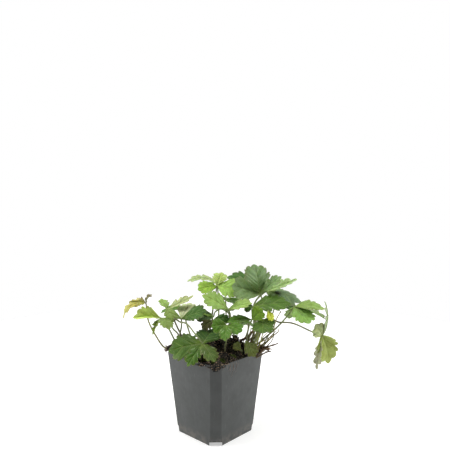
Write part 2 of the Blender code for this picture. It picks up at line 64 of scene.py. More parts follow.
def colour(code):
    """An sRGB hex colour as linear RGBA."""
    parts = [int(code[i:i + 2], 16) / 255 for i in (1, 3, 5)]
    return (*[p / 12.92 if p <= 0.04045 else ((p + 0.055) / 1.055) ** 2.4 for p in parts], 1)


def pitch(size):
    """The scale of a pattern whose features are that many millimetres across."""
    return 1 / (size * MM)


def add(tree, kind, inputs=(), stops=(), **settings):
    """One node with its settings. An input is given as a value, as a socket that is linked to it,
    or as a node, whose first output is; a ramp's stops are given as places and hex colours."""
    node = tree.nodes.new(kind)
    for name, value in settings.items():
        setattr(node, name, value)
    for socket, value in dict(inputs).items():
        if isinstance(value, bpy.types.Node):
            value = value.outputs[0]
        if isinstance(value, bpy.types.NodeSocket):
            tree.links.new(value, node.inputs[socket])
        else:
            node.inputs[socket].default_value = value
    for number, (place, code) in enumerate(stops):
        ramp = node.color_ramp.elements
        stop = ramp[number] if number < 2 else ramp.new(place)
        stop.position, stop.color = place, colour(code)
    return node


def start_material(name, roughness, ior, others=()):
    """A material of that name, its tree, its shader and its Object coordinates."""
    made = bpy.data.materials.new(name)
    made.use_nodes = True
    tree = made.node_tree
    shader = tree.nodes["Principled BSDF"]
    for socket, value in {"Roughness": roughness, "IOR": ior, **dict(others)}.items():
        shader.inputs[socket].default_value = value
    place = add(tree, "ShaderNodeTexCoord").outputs["Object"]
    return made, tree, shader, place


def patches(tree, ground, pattern, start, full, share, code, blend="MIX"):
    """The ground with patches of another colour, which start and are full at those values of the
    pattern and cover as much of the ground as that share."""
    cover = add(tree, "ShaderNodeMapRange", {0: pattern, 1: start, 2: full, 4: share}, **SOFT_STEP)
    return add(tree, "ShaderNodeMix", {0: cover, 6: ground, 7: colour(code)},
               data_type="RGBA", blend_type=blend).outputs[2]


def finish(tree, shader, tone, relief, strength, depth):
    """Gives the shader its colour and a relief that many millimetres deep."""
    tree.links.new(tone, shader.inputs["Base Color"])
    raised = add(tree, "ShaderNodeBump", {"Height": relief, "Strength": strength,
                                          "Distance": depth * MM})
    tree.links.new(raised.outputs[0], shader.inputs["Normal"])


def pot_plastic():
    """Matt recycled polypropylene: cloudy grey, dull sheen, faint leathery skin, dust low down."""
    made, tree, shader, place = start_material("recycled polypropylene, moulded", 0.5, 1.49)
    flow = add(tree, "ShaderNodeMapping", {"Vector": place, "Scale": (1, 1, FLOW_STRETCH)})
    cloud, scuffs, dusty, stains, marks, skin = (
        add(tree, "ShaderNodeTexNoise", {"Vector": where, "Scale": pitch(size), "Detail": detail})
        for where, size, detail in ((place, 17, 3), (flow, 1.7, 4), (place, 5, 5),
                                    (place, 3.6, 6), (flow, 9, 2), (place, 0.7, 2)))
    tone = add(tree, "ShaderNodeValToRGB", {0: cloud}, [(0.36, "#2f3231"), (0.66, "#373a39")])
    tone = patches(tree, tone, scuffs, 0.60, 0.74, 0.32, "#545756")
    height = add(tree, "ShaderNodeSeparateXYZ", {0: place}).outputs[2]
    low = add(tree, "ShaderNodeMapRange", {0: height, 1: DUST_TOP * MM, 2: 0.0, 4: 0.45}, **SOFT_STEP)
    tone = patches(tree, tone, dusty, 0.35, 0.70, low, "#7a7369")
    near_rim = add(tree, "ShaderNodeMapRange", {0: height, 1: STAINS_FROM * MM, 2: POT_HEIGHT * MM,
                                                4: 0.65}, **SOFT_STEP)
    tone = patches(tree, tone, stains, 0.50, 0.66, near_rim, "#2d2722")
    tone = patches(tree, tone, marks, 0.60, 0.74, 0.35, "#2b2e2f")
    dull = add(tree, "ShaderNodeMapRange", {0: dusty, 3: 0.42, 4: 0.62})
    tree.links.new(dull.outputs[0], shader.inputs["Roughness"])
    finish(tree, shader, tone, skin, 0.25, 0.06)
    return made


def settle(piece):
    """Makes the piece a plain mesh, with its modifiers applied."""
    graph = bpy.context.evaluated_depsgraph_get()
    mesh = bpy.data.meshes.new_from_object(piece.evaluated_get(graph))
    piece.modifiers.clear()
    piece.data = mesh
    mesh.name = piece.name


def new_piece(name, mesh_or_form):
    """An object of a mesh, or of a bmesh, which it frees."""
    mesh = mesh_or_form
    if isinstance(mesh_or_form, bmesh.types.BMesh):
        mesh = bpy.data.meshes.new(name)
        mesh_or_form.to_mesh(mesh)
        mesh_or_form.free()
    made = bpy.data.objects.new(name, mesh)
    bpy.context.scene.collection.objects.link(made)
    return made


def surface(piece, material, sharp_from):
    """Gives the piece its one material, and smooth faces but for edges that turn by more."""
    piece.data.shade_smooth()
    piece.data.set_sharp_from_angle(angle=sharp_from)
    piece.data.materials.clear()
    piece.data.materials.append(material)


def hand_over(piece, slot, *nodes):
    """The piece rides on the one body and stands for its nodes."""
    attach(piece, "root")
    if nodes:
        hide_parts(*nodes)


def merged_copy(node):
    """A form with the node's shape, its loose triangles joined."""
    form = bmesh.new()
    form.from_mesh(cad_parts[node].data)
    bmesh.ops.remove_doubles(form, verts=form.verts, dist=1e-6)
    return form


pot_form = merged_copy("pot")
bmesh.ops.dissolve_limit(pot_form, angle_limit=FLAT_WITHIN, verts=pot_form.verts,
                         edges=pot_form.edges)
pot = new_piece("nursery_pot", pot_form)
rounding = pot.modifiers.new("rounded edges", "BEVEL")
rounding.width = EDGE_ROUND * MM
rounding.segments = 2
rounding.limit_method = "ANGLE"
rounding.angle_limit = ROUND_FROM
settle(pot)
surface(pot, pot_plastic(), SHARP_FROM)
hand_over(pot, "pot", "pot")

# Peat
# Dark potting peat that fills the pot and is mounded and lumpy on top. It is loose fibre and
# crumbs, nearly black where damp and brown where the surface has dried.
FRONT_TURN = math.radians(46.87)
TURN_COS, TURN_SIN = math.cos(FRONT_TURN), math.sin(FRONT_TURN)
WALL_AND_GAP = 1.3
CORNER_CUT = 9.2
SOIL_AT_WALL = 96.5
MOUND_RISE = 11.0
MOUND_HALF_SIDE = 44.0
MOUND_POWER = 2.2
RIPPLES = (  # turns per millimetre along X and Y, phase, height
    (0.050, 0.028, 0.4, 0.9),
    (-0.035, 0.061, 1.9, 0.8),
    (0.083, -0.068, 3.1, 0.5),
)
LUMPS = (  # right, away, height, radius
    (-49, 3, 6.0, 7),
    (6, 12, 3.0, 8),
    (17, 13, 4.0, 7),
    (49, 0, 4.0, 8),
    (-26, 22, 2.5, 8),
    (24, 28, 2.0, 9),
    (24.5, -4, 6.5, 6),
    (31, -8, 3.0, 5),
    (4, -11, 4.5, 6),
)
PEAT_CELLS = 150
PEAT_HALF_SIDE = 47
PEAT_SEAM = 84.0  # the rough top is fitted to the plain filling at this height
PEAT_OVERLAP = 6
ABOVE_ALL = 130
PEAT_ROUGH = ((9.0, 1.5), (3.2, 1.3), (1.3, 0.7))  # size and height of its lumps


def to_model(right, away):
    """A place in facing axes, or an array of them, on the pot's X and Y; the unit stays."""
    return right * TURN_COS + away * TURN_SIN, away * TURN_COS - right * TURN_SIN


def to_facing(x, y):
    """A place on X and Y, or an array of them, in facing axes; the unit stays."""
    return x * TURN_COS - y * TURN_SIN, x * TURN_SIN + y * TURN_COS


def to_world(points):
    """Points from facing axes in millimetres to the model's axes in metres."""
    points = np.asarray(points, float)
    x, y = to_model(points[:, 0], points[:, 1])
    return np.stack([x, y, points[:, 2]], 1) * MM


def soil_top(right, away):
    """Height of the soil, in millimetres, at a place in facing axes."""
    x, y = to_model(right, away)
    out = max(abs(x), abs(y)) / MOUND_HALF_SIDE
    height = SOIL_AT_WALL + MOUND_RISE * (1 - min(out, 1) ** MOUND_POWER)
    for turns_x, turns_y, phase, swing in RIPPLES:
        height += swing * math.sin(2 * math.pi * (turns_x * x + turns_y * y) + phase)
    for lump_right, lump_away, rise, radius in LUMPS:
        distance = math.hypot(right - lump_right, away - lump_away) / radius
        height += rise * math.exp(-distance * distance)
    return height


def peat():
    """Potting peat: near-black damp ground with brown dry crumbs and a few tan fibres, no gloss."""
    made, tree, shader, place = start_material("potting peat, loose", 0.95, 1.4)
    damp = add(tree, "ShaderNodeTexNoise", {"Vector": place, "Scale": pitch(9), "Detail": 4})
    tone = add(tree, "ShaderNodeValToRGB", {0: damp},
               [(0.38, "#100e0b"), (0.52, "#1b1712"), (0.68, "#30281f")])
    grain = add(tree, "ShaderNodeTexVoronoi", {"Vector": place, "Scale": pitch(1.1)})
    speck = add(tree, "ShaderNodeSeparateColor", {0: grain.outputs["Color"]})
    tone = patches(tree, tone, speck.outputs[0], 0.84, 0.90, 0.6, "#4d4034")
    tone = patches(tree, tone, speck.outputs[1], 0.93, 0.95, 0.8, "#b39b7c")
    own = add(tree, "ShaderNodeAttribute", attribute_name="crumb_shade").outputs["Fac"]
    tone = patches(tree, tone, own, 0.60, 0.90, 0.45, "#493c31")
    tone = patches(tree, tone, own, 0.955, 0.965, 1.0, "#93846e")
    fine = add(tree, "ShaderNodeTexNoise", {"Vector": place, "Scale": pitch(0.8), "Detail": 5})
    finish(tree, shader, tone, fine, 0.9, 0.5)
    return made


def pot_side(level):
    """How wide the pot is outside at a height, in millimetres."""
    return BASE_SIDE + (RIM_SIDE - BASE_SIDE) * level / POT_HEIGHT


def pot_inside(low, high):
    """The space inside the pot's walls, carried on upwards at the same slope."""
    form = bmesh.new()
    bmesh.ops.create_cube(form, size=1.0)
    for corner in form.verts:
        level = high if corner.co.z > 0 else low
        side = pot_side(level) - 2 * WALL_AND_GAP
        corner.co = Vector((corner.co.x * side, corner.co.y * side, level)) * MM
    upright = [edge for edge in form.edges
               if abs(edge.verts[0].co.z - edge.verts[1].co.z) > (high - low) * MM / 2]
    cut = CORNER_CUT - WALL_AND_GAP * (2 - math.sqrt(2))
    bmesh.ops.bevel(form, geom=upright, offset=cut * MM, offset_type="OFFSET", segments=1,
                    affect="EDGES", profile=0.5)
    return form


def rough_top():
    """The mound's top as a closed block that reaches below the seam, its corners not yet cut."""
    form = bmesh.new()
    bmesh.ops.create_grid(form, x_segments=PEAT_CELLS, y_segments=PEAT_CELLS,
                          size=PEAT_HALF_SIDE * MM)
    for point in form.verts:
        x, y = point.co.x / MM, point.co.y / MM
        height = soil_top(*to_facing(x, y))
        for size, rise in PEAT_ROUGH:
            height += rise * noise.noise(Vector((x / size, y / size, size)))
        point.co.z = height * MM
    for part in bmesh.ops.extrude_face_region(form, geom=form.faces[:])["geom"]:
        if isinstance(part, bmesh.types.BMVert):
            part.co.z = (PEAT_SEAM - PEAT_OVERLAP) * MM
    bmesh.ops.triangulate(form, faces=form.faces)
    bmesh.ops.recalc_face_normals(form, faces=form.faces)
    return form


peat_top = new_piece("peat_top", rough_top())
inside = new_piece("pot_inside", pot_inside(PEAT_SEAM - 1, ABOVE_ALL))
keep = peat_top.modifiers.new("inside the pot", "BOOLEAN")
keep.operation = "INTERSECT"
keep.object = inside
keep.solver = "MANIFOLD"
settle(peat_top)
bpy.data.objects.remove(inside)
peat_form = merged_copy("soil")
everything = peat_form.verts[:] + peat_form.edges[:] + peat_form.faces[:]
cut = bmesh.ops.bisect_plane(peat_form, geom=everything, plane_co=(0, 0, PEAT_SEAM * MM),
                             plane_no=(0, 0, 1), clear_outer=True)
rims = [part for part in cut["geom_cut"] if isinstance(part, bmesh.types.BMEdge)]
bmesh.ops.holes_fill(peat_form, edges=rims)
peat_form.from_mesh(peat_top.data)
ground = new_piece("peat_filling", peat_form)
bpy.data.objects.remove(peat_top)
peat_material = peat()
surface(ground, peat_material, math.radians(60))
hand_over(ground, "soil", "soil")

# Loose crumbs
# Crumbs and small clods of the same peat, lying loose over the mound and spilt over the rim at
# the front corner. Each is a rough lump, turned and sized at random.
CRUMB_SIZES = ((0.42, 1.25, 3.2e5, 1), (1.3, 2.5, 2.4e4, 2))  # low, high, number a square metre, cut
CRUMBS_ABOVE = 92
LOOKS_UP = 0.25  # how far upward a face must look to hold a crumb
FULL_TURN = 6.28  # in radians
CRUMB_SQUEEZE = ((0.7, 0.6, 0.5), (1.5, 1.0, 1.0))
CRUMB_DENT = 1.4  # how far a crumb's surface is pushed in and out
CORNER_SIGNS = ((-1, -1), (1, -1), (1, 1), (-1, 1))
SPILLS = (  # centre on the rim or wall in the model's axes, half size, turn about Z in degrees
    ((-41.3, -40.9, 98.5), (6.5, 1.2), -45),
    ((-45.0, -22.5, 98.2), (6.0, 0.7), 90),
    ((-30.0, -45.0, 98.3), (7.0, 0.7), 0),
    ((33.0, -45.0, 98.3), (6.0, 0.7), 0),
    ((-45.0, 10.0, 98.3), (5.0, 0.7), 90),
    ((-45.6, -18.0, 94.8), (4.6, 0.6), 90),
    ((-45.8, -24.0, 96.6), (6.0, 0.5), 90),
    ((-41.1, -41.1, 96.2), (6.0, 0.8), -45),
    ((-41.0, -41.0, 94.0), (4.6, 0.6), -45),
    ((-40.7, -40.7, 92.0), (3.0, 0.5), -45),
    ((-33.0, -45.7, 96.0), (3.4, 0.4), 0),
    ((-45.7, -34.5, 96.0), (3.4, 0.4), 90),
)
CLODS = (  # right, away, height over the soil, half side of the patch
    (25.5, -5.0, 1.2, 4.5), (25.0, -4.5, 4.6, 2.8), (18.0, -4.0, 1.6, 3.0), (31.0, -8.0, 1.0, 3.0),
    (4.5, -11.0, 1.2, 5.0), (4.0, -10.0, 4.4, 3.2), (0.0, -24.0, 1.0, 5.0), (-48.0, 2.0, 1.4, 4.0),
    (-54.0, 0.0, 1.2, 3.0), (-44.0, 4.0, 3.0, 3.0), (-24.0, -3.0, 1.4, 4.5),
    (-24.0, -2.0, 5.0, 3.4), (-36.0, 0.0, 3.0, 4.0), (-57.5, -1.0, 0.6, 2.0),
    (56.5, -7.5, 0.6, 3.0), (52.0, -8.5, 2.2, 3.8), (55.5, -6.5, 4.6, 2.6),
)


def new_tree(name, sockets):
    """A Geometry Nodes tree with named inputs for its sizes."""
    tree = bpy.data.node_groups.new(name, "GeometryNodeTree")
    tree.interface.new_socket("Geometry", in_out="OUTPUT", socket_type="NodeSocketGeometry")
    tree.interface.new_socket("Geometry", in_out="INPUT", socket_type="NodeSocketGeometry")
    for socket, kind in sockets.items():
        tree.interface.new_socket(socket, in_out="INPUT", socket_type="NodeSocket" + kind)
    given = tree.nodes.new("NodeGroupInput").outputs
    return tree, given


def end_tree(tree, given, made):
    """Realizes what the tree made, gives it its material and sends it out."""
    made = add(tree, "GeometryNodeRealizeInstances", {0: made})
    made = add(tree, "GeometryNodeSetMaterial", {"Geometry": made, "Material": given["Material"]})
    add(tree, "NodeGroupOutput", {0: made})
    return tree


def grow(source, tree, name, values):
    """The plain mesh that the tree makes from the source, as a new piece."""
    step = source.modifiers.new("grown", "NODES")
    step.node_group = tree
    for socket in tree.interface.items_tree:
        if socket.in_out == "INPUT" and socket.name in values:
            step[socket.identifier] = values[socket.name]
    graph = bpy.context.evaluated_depsgraph_get()
    mesh = bpy.data.meshes.new_from_object(source.evaluated_get(graph))
    source.modifiers.remove(step)
    mesh.name = name
    return new_piece(name, mesh)


def crumb_tree():
    """Rough lumps scattered over the faces that look up, each with its own turn, size and shade."""
    tree, given = new_tree("scattered crumbs", {
        "Smallest": "Float", "Largest": "Float", "Density": "Float", "Cut": "Int",
        "Lowest": "Float", "Seed": "Int", "Material": "Material"})
    normal = add(tree, "GeometryNodeInputNormal")
    up = add(tree, "ShaderNodeSeparateXYZ", {0: normal})
    facing = add(tree, "FunctionNodeCompare", {0: up.outputs[2], 1: LOOKS_UP}, operation="GREATER_THAN")
    spot = add(tree, "GeometryNodeInputPosition")
    height = add(tree, "ShaderNodeSeparateXYZ", {0: spot})
    high = add(tree, "FunctionNodeCompare", {0: height.outputs[2], 1: given["Lowest"]},
               operation="GREATER_THAN")
    there = add(tree, "FunctionNodeBooleanMath", {0: facing, 1: high}, operation="AND")
    points = add(tree, "GeometryNodeDistributePointsOnFaces", {
        "Mesh": given["Geometry"], "Selection": there, "Density": given["Density"],
        "Seed": given["Seed"]})
    lump = add(tree, "GeometryNodeMeshIcoSphere", {"Radius": 0.5, "Subdivisions": given["Cut"]})
    turn = add(tree, "FunctionNodeRandomValue", {0: (0, 0, 0), 1: (FULL_TURN,) * 3,
               "Seed": given["Seed"]}, data_type="FLOAT_VECTOR")
    squeeze = add(tree, "FunctionNodeRandomValue", {0: CRUMB_SQUEEZE[0], 1: CRUMB_SQUEEZE[1],
                  "Seed": given["Seed"]}, data_type="FLOAT_VECTOR")
    size = add(tree, "FunctionNodeRandomValue", {2: given["Smallest"], 3: given["Largest"]},
               data_type="FLOAT").outputs[1]
    scale = add(tree, "ShaderNodeVectorMath", {0: squeeze, "Scale": size}, operation="SCALE")
    crumbs = add(tree, "GeometryNodeInstanceOnPoints", {
        "Points": points, "Instance": lump, "Rotation": turn, "Scale": scale})
    shade = add(tree, "FunctionNodeRandomValue", {2: 0.0, 3: 1.0, "Seed": 5}, data_type="FLOAT")
    crumbs = add(tree, "GeometryNodeStoreNamedAttribute", {
        "Geometry": crumbs, "Name": "crumb_shade", "Value": shade.outputs[1]},
        data_type="FLOAT", domain="INSTANCE")
    crumbs = add(tree, "GeometryNodeRealizeInstances", {0: crumbs})
    rough = add(tree, "ShaderNodeTexNoise", {"Scale": pitch(1.1), "Detail": 1.0})
    shift = add(tree, "ShaderNodeVectorMath", {0: rough.outputs["Color"], 1: (0.5, 0.5, 0.5)},
                operation="SUBTRACT")
    shift = add(tree, "ShaderNodeVectorMath", {0: shift, "Scale": CRUMB_DENT * MM}, operation="SCALE")
    crumbs = add(tree, "GeometryNodeSetPosition", {"Geometry": crumbs, "Offset": shift})
    return end_tree(tree, given, crumbs)


def scatter(source, name, smallest, largest, density, cut, lowest, seed):
    """Crumbs on a piece's faces above the lowest height, which is in millimetres like the sizes."""
    return grow(source, crumb_maker, name, {
        "Smallest": smallest * MM, "Largest": largest * MM, "Density": density, "Cut": cut,
        "Lowest": lowest * MM, "Seed": seed, "Material": peat_material})


def scatter_on_patches(name, rings, *sizes):
    """Crumbs over flat patches, each given by its four corners in metres."""
    form = bmesh.new()
    for ring in rings:
        form.faces.new([form.verts.new(corner) for corner in ring])
    guide = new_piece(name + "_guide", form)
    made = scatter(guide, name, *sizes)
    bpy.data.objects.remove(guide)
    return made


def spill_corners(centre, half_length, half_width, degrees):
    """The corners of a level patch in the model's axes, turned about Z."""
    turn = math.radians(degrees)
    along = Vector((math.cos(turn), math.sin(turn), 0)) * half_length
    across = Vector((-math.sin(turn), math.cos(turn), 0)) * half_width
    return [(Vector(centre) + a * along + b * across) * MM for a, b in CORNER_SIGNS]


def clod_corners(right, away, over, half_side):
    """The corners of a level patch in facing axes, at a height over the soil."""
    up = max(soil_top(right, away), SOIL_AT_WALL) + over
    return to_world([(right + a * half_side, away + b * half_side, up) for a, b in CORNER_SIGNS])


def join(pieces):
    """The pieces as one, the first."""
    with bpy.context.temp_override(active_object=pieces[0], object=pieces[0],
                                   selected_editable_objects=pieces):
        bpy.ops.object.join()
    return pieces[0]


crumb_maker = crumb_tree()
loose = [scatter(ground, f"loose_crumbs_{number}", *sizes, CRUMBS_ABOVE, 11 + number)
         for number, sizes in enumerate(CRUMB_SIZES)]
spilt = [spill_corners(centre, *half, degrees) for centre, half, degrees in SPILLS]
loose.append(scatter_on_patches("spilt_crumbs", spilt, 0.7, 2.3, 1.5e6, 1, 0, 3))
heaped = [clod_corners(*clod) for clod in CLODS]
loose.append(scatter_on_patches("clods", heaped, 2.6, 5.0, 1.6e5, 2, 0, 8))
crumbs = join(loose)
crumbs.name = "loose_crumbs"
hand_over(crumbs, "soil")

# Rootlets and dry bits
# Thin roots and broken dry stalks among the crumbs: tan to red-brown, a few hanging over the
# front rim and a tangle of them at the right and left corners.
LITTER_SIDES = 5
LITTER_TRIES = 110
LITTER_START = 54  # as far out as a bit starts, right and away added up
LITTER_STOP = 57  # as far out as it goes
DRY_TONES = [colour(code) for code in ("#8f6c4e", "#ad8f6b", "#6a412e", "#4a2c20", "#775a40")]
ROOT_TONE = colour("#948678")
TANGLES = (  # right, away, up, spread, number, longest
    (56, -6, 102.5, (5.5, 4.5, 2.4), 60, 12),
    (61, -7, 102.5, (5.5, 3.5, 2.4), 46, 12),
    (50, -8, 106.0, (5.0, 4.0, 3.0), 24, 12),
    (-56, 2, 100.0, (3.5, 3.5, 1.5), 12, 6),
    (-60, 1, 99.0, (2.4, 3.0, 3.0), 34, 8),
    (41, -9, 104.0, (6, 6, 1.5), 14, 8),
)
STRAWS = (  # foot, stops, radius, tone of old leaf stalks still standing in the peat
    ((45, -9), [(50, -9, 121), (52, -9, 130)], 0.9, "#9aa258"),
    ((48, -11), [(53, -11, 120), (54, -12, 132)], 1.0, "#aab262"),
    ((51, -9.5), [(57, -10, 118), (59, -11, 127)], 0.8, "#b4b66c"),
    ((42, -12.5), [(45, -12, 119), (50, -12, 128)], 0.6, "#6d5a3c"),
    ((44, -7), [(46, -8, 116), (47, -8, 127)], 0.8, "#a3ab60"),
    ((46, -12), [(50, -13, 117), (50, -13, 126)], 0.9, "#98a255"),
    ((40, -6), [(42, -6, 118), (44, -6, 128)], 0.7, "#8c9157"),
    ((49, -4), [(55, -5, 118), (60, -5, 130)], 0.7, "#a0a668"),
    ((47, -6), [(49, -7, 114), (46, -7, 124)], 0.6, "#a8a866"),
    ((50, -5), [(58, -6, 115), (65, -6, 123)], 0.6, "#a9a86c"),
    ((33, 2), [(40, 3, 122), (40, 3, 132)], 0.55, "#a9a98a"),
    ((52, -8), [(65, -9, 115), (74, -10, 125)], 0.72, "#7f7f58"),
    ((53, -3), [(69, -5, 115), (78, -6, 124)], 0.68, "#868460"),
    ((55, -7), [(69, -8, 112), (72, -8, 121)], 0.68, "#7a7652"),
    ((54, -2), [(71, -4, 127), (76, -4, 140), (81, -5, 148)], 0.68, "#777f52"),
    ((53.5, -11), [(65, -13, 107), (76, -14, 111)], 0.6, "#857554"),
    ((50, -14), [(62, -17, 101), (68, -18, 102)], 1.05, "#6c6048"),
    ((49, -13), [(59, -15, 104), (66, -16, 102)], 0.95, "#5c4a36"),
)
HANGING = (  # place along the front right wall, how far down it hangs, drift, radius
    (-23.5, 9.0, 1.2, 0.20), (-20.6, 12.5, -1.0, 0.16), (-18.0, 17.0, 1.8, 0.22),
    (-14.8, 10.5, -1.6, 0.17), (-11.5, 13.5, 0.8, 0.21), (-8.2, 7.0, 1.0, 0.15),
    (-26.8, 5.5, -0.8, 0.18), (-33.0, 4.0, 0.9, 0.17), (20.0, 3.5, 0.8, 0.14),
)
HANG_FROM = 97.6  # just under the rim
HANG_CLEAR = 0.12  # room between a root and the wall


def smooth_route(points, steps):
    """Points of a smooth line that runs through all the given ones."""
    known = [np.array(point, float) for point in points]
    known = [2 * known[0] - known[1]] + known + [2 * known[-1] - known[-2]]
    route = []
    for i in range(1, len(known) - 2):
        a, b, c, d = known[i - 1:i + 3]
        for t in np.arange(steps) / steps:
            route.append(0.5 * (2 * b + (c - a) * t + (2 * a - 5 * b + 4 * c - d) * t ** 2
                                + (3 * b - a - 3 * c + d) * t ** 3))
    return route + [known[-2]]


def guide_lines(name, lines):
    """A mesh of open lines; each line is its points in metres, radii in metres, and colours."""
    points, edges, radii, tints = [], [], [], []
    for route, radius, tint in lines:
        edges += [(len(points) + i, len(points) + i + 1) for i in range(len(route) - 1)]
        points += [tuple(point) for point in route]
        radii += list(radius)
        tints += [tuple(tone) for tone in tint]
    mesh = bpy.data.meshes.new(name)
    mesh.from_pydata(points, edges, [])
    mesh.attributes.new("girth", "FLOAT", "POINT").data.foreach_set("value", radii)
    mesh.attributes.new("tint", "FLOAT_COLOR", "POINT").data.foreach_set(
        "color", np.array(tints, float).ravel())
    return new_piece(name, mesh)


def tube_tree():
    """A closed round tube along each line, as thick as the line says at each point."""
    tree, given = new_tree("tubes along lines", {"Sides": "Int", "Material": "Material"})
    lines = add(tree, "GeometryNodeMeshToCurve", {0: given["Geometry"]})
    girth = add(tree, "GeometryNodeInputNamedAttribute", {"Name": "girth"}, data_type="FLOAT")
    ring = add(tree, "GeometryNodeCurvePrimitiveCircle", {
        "Resolution": given["Sides"], "Radius": 1.0})
    tubes = add(tree, "GeometryNodeCurveToMesh", {
        "Curve": lines, "Profile Curve": ring, "Scale": girth, "Fill Caps": True})
    tubes = add(tree, "GeometryNodeSetShadeSmooth", {0: tubes})
    return end_tree(tree, given, tubes)


def grow_tubes(name, lines, sides, material):
    """Tubes along the lines, as one piece."""
    guide = guide_lines(name + "_guide", lines)
    made = grow(guide, tube_maker, name, {"Sides": sides, "Material": material})
    bpy.data.objects.remove(guide)
    return made


def dry_stalk():
    """Dead stalk and root: dull fibrous tan and red-brown, streaked and blotched."""
    made, tree, shader, place = start_material("dead stalk, dried", 0.85, 1.45)
    own = add(tree, "ShaderNodeAttribute", attribute_name="tint").outputs["Color"]
    blotch = add(tree, "ShaderNodeTexNoise", {"Vector": place, "Scale": pitch(2.2), "Detail": 4})
    tone = patches(tree, own, blotch, 0.45, 0.62, 0.6, "#4a3024")
    fibre = add(tree, "ShaderNodeTexNoise", {"Vector": place, "Scale": pitch(0.5), "Detail": 3})
    finish(tree, shader, tone, fibre, 0.5, 0.15)
    return made


def bit(stops, steps, radius, tip_share, tone):
    """One rootlet or straw through its stops in facing axes, thinner at its tip, in one tone."""
    route = to_world(smooth_route(stops, steps))
    thick = radius * MM * np.linspace(1, tip_share, len(route))
    return route, thick, [tone] * len(route)


def strewn_bits(chance):
    """Rootlets that wander over the soil; one that would leave the pot is cut off or left out."""
    made = []
    for attempt in range(LITTER_TRIES):
        right, away = chance.uniform(-52, 54), chance.uniform(-48, 48)
        if abs(right) + abs(away) > LITTER_START:
            continue
        heading, length = chance.uniform(0, 2 * math.pi), chance.uniform(4, 13)
        stops = []
        for step in range(4):
            stops.append((right, away, soil_top(right, away) + chance.uniform(0.2, 1.3)))
            heading += chance.normal(0, 0.5)
            right += length / 3 * math.cos(heading)
            away += length / 3 * math.sin(heading)
            if abs(right) + abs(away) > LITTER_STOP:
                break
        if len(stops) > 2:
            radius = chance.uniform(0.10, 0.26)
            made.append(bit(stops, 4, radius, 0.45, DRY_TONES[chance.integers(len(DRY_TONES))]))
    return made


def tangled_bits(chance, right, away, up, spread, number, longest):
    """Dry bits that start near the core of a tangle and point every way."""
    made = []
    core = np.array((right, away, up), float)
    for turn in range(number):
        centre = core + chance.normal(0, 0.5, 3) * spread
        heading = chance.uniform(0, 2 * math.pi)
        reach = chance.uniform(0.3, 1) * longest / 2
        lean = np.array((math.cos(heading), math.sin(heading), chance.uniform(-0.3, 0.35)))
        swerve = chance.normal(0, 0.7, 3)
        stops = [core + 0.3 * (centre - core), centre + 0.6 * swerve, centre + reach * lean]
        radius = chance.uniform(0.28, 0.72)
        made.append(bit(stops, 4, radius, 0.6, DRY_TONES[chance.integers(len(DRY_TONES))]))
    return made


def hanging_root(along, drop, drift, radius):
    """A root that comes over the front right rim and lies on the wall below it."""
    stops = [(along - drift, -40.5, 98.6), (along - drift / 2, -43.8, 99.4),
             (along, -45.3, HANG_FROM)]
    for part in (0.35, 0.7, 1.0):
        level = HANG_FROM - drop * part
        wall = -pot_side(level) / 2 - radius - HANG_CLEAR
        stops.append((along + drift * math.sin(4 * part), wall, level))
    route = np.array(smooth_route(stops, 4)) * MM
    return route, radius * MM * np.linspace(1, 0.5, len(route)), [ROOT_TONE] * len(route)


tube_maker = tube_tree()
dry_material = dry_stalk()
chance = np.random.default_rng(8)
litter = strewn_bits(chance)
for tangle in TANGLES:
    litter += tangled_bits(chance, *tangle)
for foot, stops, radius, tone in STRAWS:
    litter.append(bit([(*foot, soil_top(*foot) - 2), *stops], 5, radius, 0.65, colour(tone)))
litter += [hanging_root(*root) for root in HANGING]
bits = grow_tubes("rootlets_and_dry_bits", litter, LITTER_SIDES, dry_material)
hand_over(bits, "soil")

# Leaves
# Each leaf is a thin hairy stalk that stands in the peat and carries three toothed leaflets, or
# what is left of them. The blades are 0.3 mm thick, veined and quilted, and some are withered.
STALK_DEPTH = 8.0
STALK_RISE = 3.0
STALK_STEPS = 9
STALK_SIDES = 8
STALK_FOOT = 1.12
STALK_TIP = 0.84
STALK_GREEN = np.array(colour("#75854a"))
STALK_RED = np.array(colour("#706453"))
STALK_DEAD = np.array(colour("#97855f"))
RIB_RADII = (0.42, 0.12)
HAIR_DENSITY = 1.6e6
HAIR_LENGTH = 0.9
HAIR_RADIUS = 0.035  # about twice a real hair's, so that it shows
RIB_BELOW = 0.22  # the midrib runs this far under the middle of the blade
BLADE_THICKNESS = 0.30
BLADE_MERGE = 2e-6  # corners nearer than this, in metres, are one
BLADE_SHARP_FROM = math.radians(50)
BLADE_ROOT = 0.5
WEDGE_END = 0.36
WEDGE_COLUMNS = 8
TOOTH_COLUMNS = 10
HALF_ROWS = 9
ROW_CROWDING = 1.15  # rows lie closer together near the midrib
TOOTH_BITE = 0.080
TOOTH_LEAN = 0.35
TOOTH_ROUNDING = 0.6
SLOPE_STEP = 1e-3
NARROW = 0.6
VEIN_SLOPE = 0.9
FAN_START = 0.08
FOLD_AT_BASE = 0.3
FOLD_OPENS = 0.3
FOLD_RELAXES = 0.7
FOLD_LOST_AT_TIP = 0.5
SINUS_WIDTH = 0.055
QUILTING = 0.55
QUILT_VALLEY = 1.2
QUILT_SPREAD = 0.7
RIB_CHANNEL = 0.32
RIB_HALF_WIDTH = 0.7
CAMBER = 0.9
CAMBER_POWER = 2.5
LEAST_CAMBERED = 0.5
DRY_CURL = 3.0  # how much more a withered blade frills and waves than a fresh one
FRILL = 0.35
WAVE = 0.5
WAVE_TURNS = 2.2
WAVE_SIDES_APART = 1.3
BASE_GLOW = 0.35
BASE_GLOW_LENGTH = 0.22
